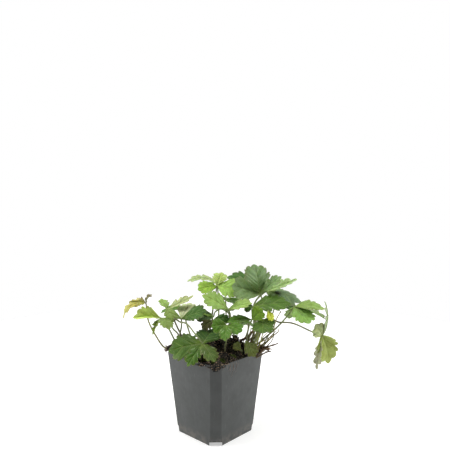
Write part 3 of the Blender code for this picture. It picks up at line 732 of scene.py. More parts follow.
LEAF_TONES = {
    # lime is the young leaf's own pale green, lightened further as painted light for the light its main
    # blade lacks.
    "lime": "#bbd36e", "bright": "#86b034", "fresh": "#4e7a20", "mid": "#4a6f20",
    "glossy": "#43681a", "fern": "#82ab52", "dark": "#385f1e", "moss": "#4e662a",
    "grey": "#5b7a45", "slate": "#5d764f", "light": "#8cad58", "soft": "#8ba155",
    "brown": "#aca752", "olive": "#9ba958", "husk": "#78844a", "ash": "#94966f",
    # silver is a paler underside tone, lightened further as painted light for the light its blade lacks
    # where it faces away from the lamps.
    "yellow": "#c6d246", "rust": "#56522f", "curled": "#82936a", "silver": "#c6d2ab",
    "faded": "#a9b27c", "meadow": "#82a04e", "sage": "#76955e", "apple": "#9cbf56",
    "sprout": "#a8c86a", "reed": "#82ac3a", "mint": "#b5cf90", "straw": "#cdc67e",
    "hay": "#bcc493", "dust": "#d0d2b0", "dull": "#82984f", "chalk": "#9db47c",
}


def blade(tip, roll=0, bend=20, fold=8, width=1.0, sinus=0.10, teeth=4.5, open_base=0.0,
          fan=0.80, place=0.5, tone=None, dry=0.0, spot=None):
    """One leaflet: its tip, its turn about the midrib, how it arches and folds, its cut, its tone
    where it isn't the leaf's, how withered it is, and a dark spot's place and size."""
    return dict(tip=tip, roll=roll, bend=bend, fold=fold, width=width, sinus=sinus, teeth=teeth,
                open_base=open_base, fan=fan, place=place, tone=tone, dry=dry, spot=spot)


def leaf(tone, foot, stem, joint, blades):
    """One leaf: its tone, where it stands, its stalk's stops, where its leaflets meet, and these."""
    return dict(tone=tone, foot=foot, stem=stem, joint=joint, blades=blades)


LEAVES = {
    # Its lime tone is the young leaf's pale green, lightened further as painted light where its main blade
    # is lit less.
    "leaf_left_young": leaf("lime", (-48, -2), [(-51, -2, 113), (-58, -2, 127)], (-67, -4, 140), [
        blade((-99, -8, 141), roll=-30, bend=14, fold=42, width=0.85, fan=0.6),
        blade((-54, -28, 132), bend=35, fold=10, width=0.62, fan=0.7, tone="dull"),
        blade((-75, -14, 122), bend=25, fold=40, width=0.4, teeth=3.5, fan=0.5, tone="soft"),
    ]),
    "leaf_left_folded": leaf("light", (-43, 8), [(-47, 9, 116), (-56, 14, 125)], (-62, 18, 146), [
        blade((-29, 20, 162), roll=22, bend=-14, fold=22, width=0.46, fan=0.36, tone="faded"),
        blade((-72, 42, 154), bend=15, fold=10, width=0.5, fan=0.55),
        blade((-53, 4, 133), bend=35, fold=10, width=0.9, tone="soft"),
    ]),
    "leaf_far_left_withered": leaf(
        "brown", (-51, 3), [(-62, -2, 102), (-74, 2, 116), (-84, 7, 134)], (-87, 9, 155), [
        blade((-114, 2, 139), roll=-20, bend=110, fold=10, width=0.45, fan=0.62, dry=0.6),
        blade((-81, 15, 165), bend=60, fold=50, width=0.45, fan=0.55, dry=0.8, tone="ash"),
        blade((-102, 11, 159), roll=-35, width=0.7, fan=0.62, dry=0.8, tone="straw"),
    ]),
    "leaf_left_dark": leaf("dark", (-43, 2), [(-44, 2, 116), (-42, 2, 128)], (-42, 2, 137), [
        blade((-12, -6, 149), roll=34, bend=18, fold=6, width=0.82, fan=0.75),
        # This blade shows its paler underside, and its silver tone is lightened further as painted light
        # where it faces away from the lamps.
        blade((-33, 28, 151), bend=15, fold=10, width=0.8, tone="silver"),
        blade((-59, -8, 148), roll=-25, bend=18, fold=12, width=0.8, teeth=3.5, tone="soft"),
    ]),
    "leaf_mid_left_dark": leaf(
        "dark", (10, 8), [(17, 7, 127), (17, 8, 142), (8, 8, 148), (0, 6, 145)], (-2, 5, 139), [
        blade((-24, 3, 140), roll=-35, bend=12, width=1.05, tone="slate"),
        blade((-15, 9, 143), roll=-5, bend=12, fold=10, width=0.8, teeth=3.5, tone="light"),
    ]),
    "leaf_centre_bright": leaf("bright", (-2, 10), [(-4, 12, 138), (-2, 14, 152)], (2, 14, 176), [
        blade((-21, 6, 173), roll=-30, bend=25, sinus=0.04, fan=0.78),
        blade((8, 26, 191), roll=10, tone="sprout"),
        blade((30, 4, 172), roll=38, bend=25, fold=6, width=1.1, tone="apple"),
    ]),
    "leaf_centre_back_pale": leaf("light", (2, 20), [(4, 32, 142)], (2, 36, 176), [
        blade((-36, 36, 179), roll=-18, bend=64, fold=12, width=0.42, fan=0.6, tone="chalk"),
        blade((22, 52, 172), width=0.9, teeth=3.5),
        blade((-8, 62, 171), width=0.9, teeth=3.5),
    ]),
    "leaf_centre_pale": leaf("light", (18, -5), [(19, -11, 141)], (16, -18, 154), [
        blade((-14, -18, 170), roll=-34, fold=6, width=0.84, fan=0.65),
        blade((43, -26, 162), roll=20, bend=14, fold=14, width=0.8, fan=0.7),
        blade((17, -3, 148), width=0.9, tone="reed"),
    ]),
    "leaf_crown_large": leaf("grey", (44, 2), [(51, 4, 129), (48, 7, 152)], (56, 6, 167), [
        blade((22, 1, 178), roll=-42, bend=18, fold=5, width=1.1, fan=0.85, tone="sage"),
        blade((49, 16, 202), roll=5, bend=16, fold=6, width=1.2, sinus=0.2, teeth=5.5, fan=0.9, place=0.62),
        blade((81, 3, 189), roll=25, width=0.75, fan=0.75, tone="sage"),
    ]),
    "leaf_crown_back_dark": leaf("dark", (39, 13), [(60, 24, 143)], (56, 31, 172), [
        blade((16, 33, 184), roll=-25, bend=45, width=0.72, fan=0.6),
        blade((55, 58, 177), teeth=3.5),
    ]),
    "leaf_right_domed": leaf("slate", (47, 5), [(49, 10, 144), (51, 13, 157)], (64, 17, 169), [
        blade((107, 12, 157), roll=18, bend=40, fold=-14, width=0.92, fan=0.55, spot=(0.33, 0.04,
              0.085), open_base=0.8),
        blade((103, 22, 183), roll=30, bend=-8, fold=26, width=0.4, fan=0.4, open_base=0.6, tone="mint"),
    ]),
    "leaf_right_green": leaf("mid", (42, -8), [(49, -8, 132)], (46, -10, 155), [
        blade((90, -14, 159), roll=27, bend=30, fold=6, width=0.72, fan=0.6, open_base=0.3),
        blade((35, -12, 156), roll=-66, bend=14, width=1.35, tone="dark"),
    ]),
    "leaf_far_right_green": leaf("mid", (51, 0), [(75, -4, 127), (90, -8, 145)], (96, -10, 155), [
        blade((132, -12, 153), roll=8, bend=30, width=0.95, fan=0.7, tone="meadow"),
        blade((110, -34, 141), roll=6, fold=6, tone="fern"),
        blade((139, 10, 134), roll=10, fold=30, width=0.4, teeth=3.5, fan=0.5, tone="light"),
        blade((92, 2, 138), bend=15, fold=10, width=0.8, teeth=2.5, fan=0.7, tone="light"),
    ]),
    "leaf_far_right_withered": leaf(
        "olive", (47, -5), [(65, -2, 136), (79, -3, 134), (96, -5, 133), (117, -7, 124)],
        (131, -8, 119), [
        blade((122, -12, 133), roll=-86, width=1.2, teeth=3.5, fan=0.62, dry=0.35, open_base=0.6,
              tone="hay"),
        blade((135, -4, 159), roll=66, bend=-58, fold=24, width=0.32, teeth=3.5, fan=0.6, dry=0.3,
              tone="curled"),
        blade((140, -4, 84), roll=90, bend=40, fold=10, width=0.76, fan=0.5, dry=0.3, open_base=0.9),
        blade((123, -17, 81), roll=12, bend=16, fold=18, width=0.26, sinus=0.03, teeth=3.5, fan=0.6,
              dry=0.5, tone="dust"),
    ]),
    "leaf_front_centre": leaf("fresh", (12, -22), [(15, -27, 125)], (14, -37, 139), [
        blade((-3, -38, 138), roll=-55, fold=5, width=1.15, fan=0.78),
        blade((12, -60, 128), roll=6, bend=30, width=0.56, fan=0.74),
        blade((31, -48, 135), roll=30, bend=15, fold=6, width=0.95),
    ]),
    "leaf_right_low_green": leaf("fresh", (38, -10), [(40, -15, 128)], (44, -23, 142), [
        blade((56, -25, 155), roll=66, bend=12, fold=6, width=1.15, tone="reed"),
        blade((16, -25, 140), roll=-14, bend=26, fold=12, width=0.78, fan=0.7, tone="mid"),
    ]),
    "leaf_right_low_dark": leaf("mid", (43.5, -13), [(54, -17, 128)], (58, -20, 142), [
        blade((55, -44, 132), bend=15, fold=5, width=1.05),
        blade((72, -22, 138), roll=20, bend=15, width=0.8),
    ]),
    "leaf_front_left_large": leaf(
        "glossy", (-38, 8), [(-51, 4, 135), (-43, -2, 134), (-34, -12, 134), (-24, -24, 126)],
        (-14, -32, 116), [
        blade((-53, -30, 107), roll=-46, bend=22, fold=3, width=0.86, fan=0.72, open_base=0.3),
        blade((-30, -50, 96), roll=-20, bend=26, fold=4, width=0.54, fan=0.74, open_base=0.1),
        blade((-2, -10, 127), roll=5, bend=15, fold=4, width=1.3, tone="dark"),
        blade((0, -53, 102), roll=8, bend=16, fold=4, width=0.7, fan=0.7, open_base=0.4, tone="moss"),
    ]),
    "leaf_small_on_soil": leaf("husk", (32, -17), [], (31, -20, 105), [
        blade((23, -19, 112), roll=-42, bend=15, fold=6, width=1.2, teeth=2.5),
    ]),
    "leaf_small_right_rim": leaf("husk", (37, -16.5), [], (37, -17, 115), [
        blade((47, -31, 101), roll=24, fold=6, width=0.75, teeth=3.5),
    ]),
    "leaf_small_brown": leaf("dark", (1, -4), [(-1, -5, 123)], (-3, -6, 137), [
        blade((18, -8, 139), roll=30, bend=50, width=0.7, teeth=3.5),
        blade((-15, -14, 129), roll=-45, bend=60, fold=16, width=0.8, teeth=3.5, dry=0.5, tone="rust"),
    ]),
    "leaf_small_yellow": leaf(
        "yellow", (41, -3), [(54, -9, 124), (61, -11, 134), (63, -14, 143)], (63, -27, 154), [
        blade((67, -32, 143), bend=12, width=0.88, teeth=3.5),
    ]),
    "leaf_back_left": leaf("mid", (-30, 22), [(-39, 36, 125)], (-42, 44, 140), [
        blade((-72, 56, 136), roll=-8, teeth=3.5),
        blade((-37, 80, 134), teeth=3.5),
        blade((-18, 40, 137), roll=8, teeth=3.5),
    ]),
    "leaf_back_centre": leaf("mid", (6, 34), [(13, 42, 129)], (13, 46, 152), [
        blade((-11, 60, 149), roll=-8, teeth=3.5),
        blade((22, 82, 146), teeth=3.5),
        blade((37, 34, 150), roll=8, teeth=3.5),
    ]),
    "leaf_back_right": leaf("dark", (38, 18), [(68, 28, 127)], (79, 36, 149), [
        blade((63, 62, 146), roll=-8, teeth=3.5),
        blade((99, 66, 146), teeth=3.5),
        blade((104, 26, 144), roll=8, width=0.9, teeth=3.5),
    ]),
    "leaf_back_low": leaf("mid", (16, 32), [(24, 44, 112)], (27, 52, 121), [
        blade((5, 66, 117), roll=-8, teeth=3.5),
        blade((33, 86, 107), bend=30, teeth=3.5),
        blade((49, 58, 117), roll=8, teeth=3.5),
    ]),
    "leaf_back_far_low": leaf("dark", (-14, 38), [(-11, 50, 104)], (-12, 56, 105), [
        blade((-36, 66, 94), roll=-8, width=0.9, teeth=3.5),
        blade((-9, 90, 88), bend=30, teeth=3.5),
        blade((7, 70, 98), roll=8, width=0.9, teeth=3.5),
    ]),
}


def stalk_line(foot, points):
    """A stalk's line in facing axes: straight up out of the peat, then through its points."""
    right, away = foot
    top = soil_top(right, away)
    bottom = np.array((right, away, top - STALK_DEPTH))
    mouth = (right, away, top + STALK_RISE)
    return np.array([bottom] + smooth_route([mouth] + points, STALK_STEPS))


def bow(q, first, second):
    """A cubic curve from (0, 0) to (1, 0) with two guide points."""
    q = q[:, None]
    rest = 1 - q
    return (3 * rest * rest * q * np.array(first) + 3 * rest * q * q * np.array(second)
            + q ** 3 * np.array((1.0, 0.0)))


def half_outline(form, q):
    """Points along the midrib and along one toothed margin of a leaflet of unit length."""
    teeth, width = form["teeth"], form["width"]
    opening = form["open_base"]
    first = (0.25 - 0.14 * opening, (0.20 + 0.22 * opening) * width)
    second = (form["fan"], 0.95 * width)
    margin = bow(q, first, second)
    after, before = np.minimum(q + SLOPE_STEP, 1), np.maximum(q - SLOPE_STEP, 0)
    along = bow(after, first, second) - bow(before, first, second)
    along /= np.linalg.norm(along, axis=1)[:, None]
    outward = np.stack([-along[:, 1], along[:, 0]], 1)
    rib = np.maximum(margin[:, 0] - VEIN_SLOPE * margin[:, 1] / max(width, NARROW), FAN_START)
    rib = np.where(q < WEDGE_END / 2, rib * q / (WEDGE_END / 2), rib)
    rib = np.stack([rib, 0 * q], 1)
    part = np.clip((q - WEDGE_END) / (1 - WEDGE_END), 0, 1)
    tooth = np.abs(np.sin(np.pi * teeth * part)) ** TOOTH_ROUNDING
    notch = WEDGE_END + (1 - WEDGE_END) * round(form["place"] * teeth) / teeth
    swell = TOOTH_BITE * np.clip(part * 5, 0, 1) * (tooth - 0.5)
    swell -= form["sinus"] * np.exp(-((q - notch) / SINUS_WIDTH) ** 2)
    edge = margin + (outward + TOOTH_LEAN * along) * swell[:, None]
    edge[:, 1] = np.maximum(edge[:, 1], 0)
    edge[-1, 1] = 0
    rib[-1] = edge[-1]
    return rib, edge


def fold_share(along):
    """How much of its fold a leaflet has: less at its base, full in its middle, less at its tip."""
    opening = np.clip(along / FOLD_OPENS, 0, 1)
    relaxing = np.clip((along - FOLD_RELAXES) / (1 - FOLD_RELAXES), 0, 1)
    return (FOLD_AT_BASE + (1 - FOLD_AT_BASE) * opening) * (1 - FOLD_LOST_AT_TIP * relaxing)


def place_on_leaflet(points, lift, base, form):
    """Points of the flat unit leaflet, lifted off it in millimetres, on the arched, folded one."""
    chord = np.array(form["tip"], float) - base
    span = np.linalg.norm(chord)
    ahead = chord / span
    up = np.array((0.0, 0.0, 1.0)) if abs(ahead[2]) < 0.97 else np.array((0.0, 1.0, 0.0))
    up = up - up.dot(ahead) * ahead
    up /= np.linalg.norm(up)
    roll = math.radians(form["roll"])
    up = up * math.cos(roll) + np.cross(ahead, up) * math.sin(roll)
    arch = math.radians(form["bend"])
    length = span * (arch / 2) / math.sin(arch / 2)
    angle = arch / 2 - arch * points[:, 0]
    forward = (math.sin(arch / 2) - np.sin(angle)) * length / arch
    rise = (np.cos(angle) - math.cos(arch / 2)) * length / arch
    normal = np.cos(angle)[:, None] * up - np.sin(angle)[:, None] * ahead
    side = np.cross(np.cos(angle)[:, None] * ahead + np.sin(angle)[:, None] * up, normal)
    fold = math.radians(form["fold"]) * fold_share(points[:, 0])
    across = points[:, 1] * length
    half = np.sign(across)
    return (base + forward[:, None] * ahead + rise[:, None] * up
            + (across * np.cos(fold) - half * lift * np.sin(fold))[:, None] * side
            + (np.abs(across) * np.sin(fold) + lift * np.cos(fold))[:, None] * normal)


def surface_lift(form, q, vein, share, from_rib, phase):
    """How far each point stands off the flat leaflet, in millimetres: up between the side veins,
    down along the midrib and at the margin, and frilled and waved, most where it is dry."""
    to_edge, half = np.abs(share)[None, :], np.sign(share)[None, :]
    between = 1 - np.abs(np.sin(math.pi * vein))[:, None] ** QUILT_VALLEY
    lift = QUILTING * between * np.sin(math.pi * to_edge) ** QUILT_SPREAD
    lift -= RIB_CHANNEL * np.exp(-(from_rib / RIB_HALF_WIDTH) ** 2)
    lift -= CAMBER * max(form["width"], LEAST_CAMBERED) * to_edge ** CAMBER_POWER
    curl = 1 + DRY_CURL * form["dry"]
    frill = np.sin(math.pi * vein[:, None] + phase[0] + half)
    lift += FRILL * curl * frill * to_edge ** 3
    wave = np.sin(WAVE_TURNS * q[:, None] * math.pi + phase[1] + WAVE_SIDES_APART * half)
    lift += WAVE * curl * wave * to_edge ** 2
    ends = np.clip(q * 6, 0, 1) * np.clip((1 - q) * 10, 0, 1)
    return lift * ends[:, None]


def leaflet_tints(form, tone, flat, to_margin, luck):
    """A leaflet's colours: its own tone, paler at the base, brown at the margin, dark at a spot."""
    own = np.array(colour(LEAF_TONES[form["tone"] or tone]))
    own[:3] *= (1 + luck.uniform(-0.08, 0.08)) * (1 + luck.uniform(-0.05, 0.05, 3))
    base = np.exp(-(flat[:, :, 0] / BASE_GLOW_LENGTH) ** 2) * BASE_GLOW
    margin = np.clip(to_margin * 6 - 5.0, 0, 1) * luck.uniform(0.05, 0.35)
    layers = [(base, "#a0b455"), (margin, "#8a7350")]
    if form["spot"]:
        *spot, size = form["spot"]
        away = np.linalg.norm(flat - np.array(spot), axis=2) / size
        layers.append((np.clip(1.6 - away, 0, 1), "#1f2119"))
    tints = own
    for share, code in layers:
        tints = tints * (1 - share[..., None]) + np.array(colour(code)) * share[..., None]
    return tints


def leaflet(name, joint, form, tone, seed):
    """One blade as a quilted, veined sheet with its own tints, thickened to a closed solid, and the
    line of its midrib."""
    joint = np.array(joint, float)
    chord = np.array(form["tip"], float) - joint
    span = np.linalg.norm(chord)
    base = joint - BLADE_ROOT * chord / span
    columns = int(form["teeth"] * TOOTH_COLUMNS) + 1
    q = np.concatenate([np.linspace(0, WEDGE_END, WEDGE_COLUMNS + 1)[:-1],
                        np.linspace(WEDGE_END, 1, columns)])
    rib, edge = half_outline(form, q)
    row = np.linspace(0, 1, HALF_ROWS + 1) ** ROW_CROWDING
    share = np.concatenate([-row[:0:-1], row])
    reach = np.abs(share)[None, :, None]
    flat = rib[:, None, :] * (1 - reach) + edge[:, None, :] * reach
    flat[:, :, 1] *= np.sign(share)[None, :]
    vein = form["teeth"] * (q - WEDGE_END) / (1 - WEDGE_END)
    from_rib = np.abs(flat[:, :, 1]) * span
    luck = np.random.default_rng(seed)
    phase = luck.uniform(0, 2 * math.pi, 4)
    lift = surface_lift(form, q, vein, share, from_rib, phase)
    points = place_on_leaflet(flat.reshape(-1, 2), lift.ravel(), base, form)
    along, breadth = len(q), len(share)
    number = np.arange(along * breadth).reshape(along, breadth)
    faces = np.stack([number[:-1, :-1], number[:-1, 1:], number[1:, 1:], number[1:, :-1]], -1)
    mesh = bpy.data.meshes.new(name)
    mesh.from_pydata(to_world(points).tolist(), [], faces.reshape(-1, 4).tolist())
    to_margin = np.repeat(np.abs(share)[None, :], along, 0)
    layers = {"vein": np.repeat(vein[:, None], breadth, 1), "from_rib": from_rib,
              "to_margin": to_margin, "withered": np.full((along, breadth), form["dry"]),
              "hairs": np.clip(to_margin * 8 - 7, 0, 1) + 0.04}
    for layer, values in layers.items():
        mesh.attributes.new(layer, "FLOAT", "POINT").data.foreach_set("value", values.ravel())
    tints = leaflet_tints(form, tone, flat, to_margin, luck)
    mesh.attributes.new("tint", "FLOAT_COLOR", "POINT").data.foreach_set("color", tints.ravel())
    sheet = bmesh.new()
    sheet.from_mesh(mesh)
    bmesh.ops.remove_doubles(sheet, verts=sheet.verts, dist=BLADE_MERGE)
    made = new_piece(name, sheet)
    made.data.materials.append(leaf_upper)
    made.data.materials.append(leaf_under)
    thick = made.modifiers.new("thickness", "SOLIDIFY")
    thick.thickness = BLADE_THICKNESS * MM
    thick.offset = 0
    thick.material_offset = 1
    settle(made)
    made.data.shade_smooth()
    made.data.set_sharp_from_angle(angle=BLADE_SHARP_FROM)
    rib_line = place_on_leaflet(rib, 0 * q - RIB_BELOW, base, form)[::3]
    return made, rib_line


def leaf_flesh(name, roughness, under):
    """Living leaf skin: green mottled by its own tint, paler net veins sunk in the upper side and
    raised below, a soft waxy sheen, and brown papery blotches where the leaf has withered."""
    made, tree, shader, place = start_material(name, roughness, 1.42, {
        "Specular IOR Level": 0.22, "Subsurface Weight": 0.12,
        "Subsurface Radius": (0.5, 1.0, 0.2), "Subsurface Scale": 0.4 * MM})
    own = add(tree, "ShaderNodeAttribute", attribute_name="tint").outputs["Color"]
    vein, from_rib, to_margin, withered = (
        add(tree, "ShaderNodeAttribute", attribute_name=layer).outputs["Fac"]
        for layer in ("vein", "from_rib", "to_margin", "withered"))
    cloud, deep, blotch = (
        add(tree, "ShaderNodeTexNoise", {"Vector": place, "Scale": pitch(size), "Detail": detail})
        for size, detail in ((7, 3), (2.4, 4), (5, 5)))
    tone = patches(tree, own, cloud, 0.35, 0.70, 0.42, "#c9c07a", "MULTIPLY")
    tone = patches(tree, tone, deep, 0.45, 0.70, 0.30, "#8aa07a", "MULTIPLY")
    turn = add(tree, "ShaderNodeMath", {0: vein}, operation="FRACT")
    turn = add(tree, "ShaderNodeMath", {0: turn, 1: 0.5}, operation="SUBTRACT")
    off_vein = add(tree, "ShaderNodeMath", {0: turn}, operation="ABSOLUTE")
    inward = add(tree, "ShaderNodeMapRange", {0: to_margin, 1: 1.02, 2: 0.55}, **SOFT_STEP)
    net = add(tree, "ShaderNodeTexVoronoi", {"Vector": place, "Scale": pitch(1.3)},
              feature="DISTANCE_TO_EDGE").outputs["Distance"]
    lines = 0.0
    for distance, outer, inner, strength in (
            (off_vein, 0.11, 0.015, inward), (from_rib, 0.55, 0.18, 1.0), (net, 0.11, 0.02, 0.4)):
        line = add(tree, "ShaderNodeMapRange", {0: distance, 1: outer, 2: inner, 4: strength},
                   **SOFT_STEP)
        lines = add(tree, "ShaderNodeMath", {0: lines, 1: line}, operation="MAXIMUM")
    pale = add(tree, "ShaderNodeMix", {0: 0.4, 6: own, 7: colour("#b2c266")}, data_type="RGBA")
    shown = add(tree, "ShaderNodeMath", {0: lines, 1: 0.62 if under else 0.34}, operation="MULTIPLY")
    tone = add(tree, "ShaderNodeMix", {0: shown, 6: tone, 7: pale.outputs[2]},
               data_type="RGBA").outputs[2]
    if under:
        tone = add(tree, "ShaderNodeMix", {0: 0.38, 6: tone, 7: colour("#a9b893")},
                   data_type="RGBA").outputs[2]
    edge = add(tree, "ShaderNodeMath", {0: to_margin, 1: to_margin}, operation="MULTIPLY")
    patchy = add(tree, "ShaderNodeMath", {0: edge, 1: 0.22, 2: blotch}, operation="MULTIPLY_ADD")
    patchy = add(tree, "ShaderNodeMath", {0: patchy, 1: withered}, operation="MULTIPLY")
    dead = add(tree, "ShaderNodeValToRGB", {0: deep}, [(0.3, "#5d4632"), (0.7, "#a08c62")])
    died = add(tree, "ShaderNodeMapRange", {0: patchy, 1: 0.42, 2: 0.66, 4: 0.9}, **SOFT_STEP)
    tone = add(tree, "ShaderNodeMix", {0: died, 6: tone, 7: dead}, data_type="RGBA").outputs[2]
    grain = add(tree, "ShaderNodeMath", {0: deep, 1: 0.6}, operation="MULTIPLY")
    pebble = add(tree, "ShaderNodeMath", {0: lines, 1: 1.0 if under else -1.0, 2: grain},
                 operation="MULTIPLY_ADD")
    finish(tree, shader, tone, pebble, 0.55, 0.22)
    return made


def stalk_skin():
    """Hairy green stalk: yellow-green to reddish by its own tint, faintly ribbed and soft."""
    made, tree, shader, place = start_material("leaf stalk, living", 0.55, 1.42, {"Sheen Weight": 0.1})
    own = add(tree, "ShaderNodeAttribute", attribute_name="tint").outputs["Color"]
    cloud = add(tree, "ShaderNodeTexNoise", {"Vector": place, "Scale": pitch(6), "Detail": 3})
    tone = patches(tree, own, cloud, 0.45, 0.65, 0.5, "#74704e")
    fibre = add(tree, "ShaderNodeTexNoise", {"Vector": place, "Scale": pitch(0.6), "Detail": 2})
    finish(tree, shader, tone, fibre, 0.3, 0.1)
    return made


def clouded(name, roughness, ior, size, detail, stops, others=()):
    """A material whose colour changes between the stops in clouds that many millimetres across."""
    made, tree, shader, place = start_material(name, roughness, ior, others)
    cloud = add(tree, "ShaderNodeTexNoise", {"Vector": place, "Scale": pitch(size), "Detail": detail})
    tone = add(tree, "ShaderNodeValToRGB", {0: cloud}, stops)
    tree.links.new(tone.outputs[0], shader.inputs["Base Color"])
    return made


def hair_tree():
    """Short leaning hairs over a piece, as dense as its own layer says."""
    tree, given = new_tree("hairs", {
        "Density": "Float", "Length": "Float", "Radius": "Float", "Seed": "Int",
        "Material": "Material"})
    layer = add(tree, "GeometryNodeInputNamedAttribute", {"Name": "hairs"}, data_type="FLOAT")
    dense = add(tree, "ShaderNodeMath", {0: layer, 1: given["Density"]}, operation="MULTIPLY")
    points = add(tree, "GeometryNodeDistributePointsOnFaces", {
        "Mesh": given["Geometry"], "Density": dense, "Seed": given["Seed"]})
    hair = add(tree, "GeometryNodeMeshCone", {
        "Vertices": 3, "Radius Top": 0.0, "Radius Bottom": given["Radius"],
        "Depth": given["Length"]}, fill_type="TRIANGLE_FAN")
    lean = add(tree, "FunctionNodeRandomValue", {
        0: (-0.6, -0.6, 0), 1: (0.6, 0.6, FULL_TURN), "Seed": given["Seed"]},
        data_type="FLOAT_VECTOR")
    lean = add(tree, "FunctionNodeEulerToRotation", {0: lean})
    turn = add(tree, "FunctionNodeRotateRotation", {
        0: points.outputs["Rotation"], 1: lean}, rotation_space="LOCAL")
    size = add(tree, "FunctionNodeRandomValue", {2: 0.5, 3: 1.0, "Seed": given["Seed"]},
               data_type="FLOAT").outputs[1]
    hairs = add(tree, "GeometryNodeInstanceOnPoints", {
        "Points": points, "Instance": hair, "Rotation": turn, "Scale": size})
    return end_tree(tree, given, hairs)


def leaf_stalk(order, leaf):
    """A leaf's stalk: its line, its radii in metres and its colours, redder toward its foot."""
    line = stalk_line(leaf["foot"], leaf["stem"] + [leaf["joint"]])
    along = np.linspace(0, 1, len(line))
    redness = np.clip(0.75 - 1.1 * along + 0.25 * math.sin(3 * order), 0, 1)[:, None]
    tints = STALK_GREEN * (1 - redness) + STALK_RED * redness
    dead = 0.7 * min(1, max(form["dry"] for form in leaf["blades"]))
    tints = tints * (1 - dead) + STALK_DEAD * dead
    girth = (STALK_FOOT + (STALK_TIP - STALK_FOOT) * along) * MM
    return to_world(line), girth, tints


leaf_upper = leaf_flesh("strawberry leaf, upper side", 0.46, False)
leaf_under = leaf_flesh("strawberry leaf, underside", 0.62, True)
stalk_material = stalk_skin()
hair_material = clouded("plant hair", 0.6, 1.4, 3, 2, [(0, "#b9c39a"), (1, "#dfe2cc")])
hair_maker = hair_tree()
for order, (node, leaf) in enumerate(LEAVES.items()):
    lines = [leaf_stalk(order, leaf)]
    blades = []
    for number, form in enumerate(leaf["blades"]):
        made, rib_line = leaflet(f"{node}_blade_{number}", leaf["joint"], form, leaf["tone"],
                                 100 * order + number)
        blades.append(made)
        thin = np.linspace(*RIB_RADII, len(rib_line)) * MM
        lines.append((to_world(rib_line), thin, [STALK_GREEN] * len(rib_line)))
    stalk = grow_tubes(node + "_dressed", lines, STALK_SIDES, stalk_material)
    stalk.data.attributes.new("hairs", "FLOAT", "POINT").data.foreach_set(
        "value", np.ones(len(stalk.data.vertices)))
    piece = join([stalk] + blades)
    hairs = grow(piece, hair_maker, node + "_hairs", {
        "Density": HAIR_DENSITY, "Length": HAIR_LENGTH * MM, "Radius": HAIR_RADIUS * MM,
        "Seed": order, "Material": hair_material})
    piece = join([piece, hairs])
    hand_over(piece, node, node)

# Cut and broken stalks
# Stumps of old leaf stalks and a brown woody runner that stand in the peat among the living ones.
# They are dry and fibrous, with a torn end, and two straws still stand tall at the right.
STUBS = {  # foot, route, radii at foot and tip, tones at foot and tip
    "runner_brown": ((31, -5), [(39, -4, 115), (44, -4, 121), (48, -4, 125)], (1.7, 1.25),
                     ("#4a3122", "#7a5a3c")),
    "stub_grey": ((32, 4), [(40, 4, 118), (41, 4, 131)], (0.85, 0.7), ("#7c6a50", "#9a9a72")),
    "stub_pale": ((49, 8), [(53, 7, 118), (55, 7, 126)], (1.25, 0.95), ("#a3a56a", "#b9c186")),
    "stub_dark_tip": ((48.5, -8.5), [(69, -10, 107), (77, -10, 110)], (1.1, 0.7),
                      ("#6f5240", "#4b3a2c")),
    "twig_right_tall": ((51, -5), [(70, -6, 117), (73, -8, 134), (80, -8, 149)], (0.7, 0.45),
                        ("#a58f5c", "#b5b07a")),
    "twig_right_short": ((52, 4), [(76, 4, 118), (79, 4, 124)], (0.7, 0.45),
                         ("#b39a68", "#c3b183")),
}
TORN_STRANDS = 4
STRAND_RADII = np.array((0.4, 0.28, 0.1))  # as shares of the stump's own


def stump_lines(foot, route, radii, tones, luck):
    """A stump's uneven line and the torn strands at its end, with radii in metres and colours."""
    line = stalk_line(foot, route)
    along = np.linspace(0, 1, len(line))
    girth = (radii[0] + (radii[1] - radii[0]) * along) * (1 + luck.uniform(-0.10, 0.06, len(line)))
    near, far = (np.array(colour(tone)) for tone in tones)
    tints = near * (1 - along[:, None]) + far * along[:, None]
    lines = [(to_world(line), girth * MM, tints)]
    for torn in range(TORN_STRANDS):
        side = luck.normal(0, 0.35, 3) * girth[-1]
        start, end = line[-1] - 0.8 * (line[-1] - line[-2]), line[-1] + side
        strand = np.array([start + side / 2, (start + end) / 2 + side / 2, end])
        lines.append((to_world(strand), STRAND_RADII * girth[-1] * MM, [far] * len(strand)))
    return lines


for order, (node, stub) in enumerate(STUBS.items()):
    lines = stump_lines(*stub, np.random.default_rng(40 + order))
    stump = grow_tubes(node + "_dressed", lines, STALK_SIDES, dry_material)
    hand_over(stump, node, node)

# Moss
# Small cushions of moss that have grown on the peat, mostly toward the front. Each is a dense
# stand of short dull green shoots, darker and lighter in patches, rooted in the peat under it.
MOSS_CUSHIONS = (  # right, away, radius
    (-1, -50, 4.5), (9, -44, 4.0), (-12, -41, 5.0), (22, -30, 3.5), (-24, -24, 4.0), (40, 12, 5.0),
    (-18, 30, 6.0), (12, 40, 5.5), (28, 28, 4.5), (0, 24, 4.0),
)
MOSS_EDGE = 2.5  # how quickly a cushion gets dense inside its edge
MOSS_ABOVE = SOIL_AT_WALL - 4
MOSS_DENSITY = 9.0e6
SHOOT_LENGTH = 2.2
SHOOT_RADIUS = 0.17

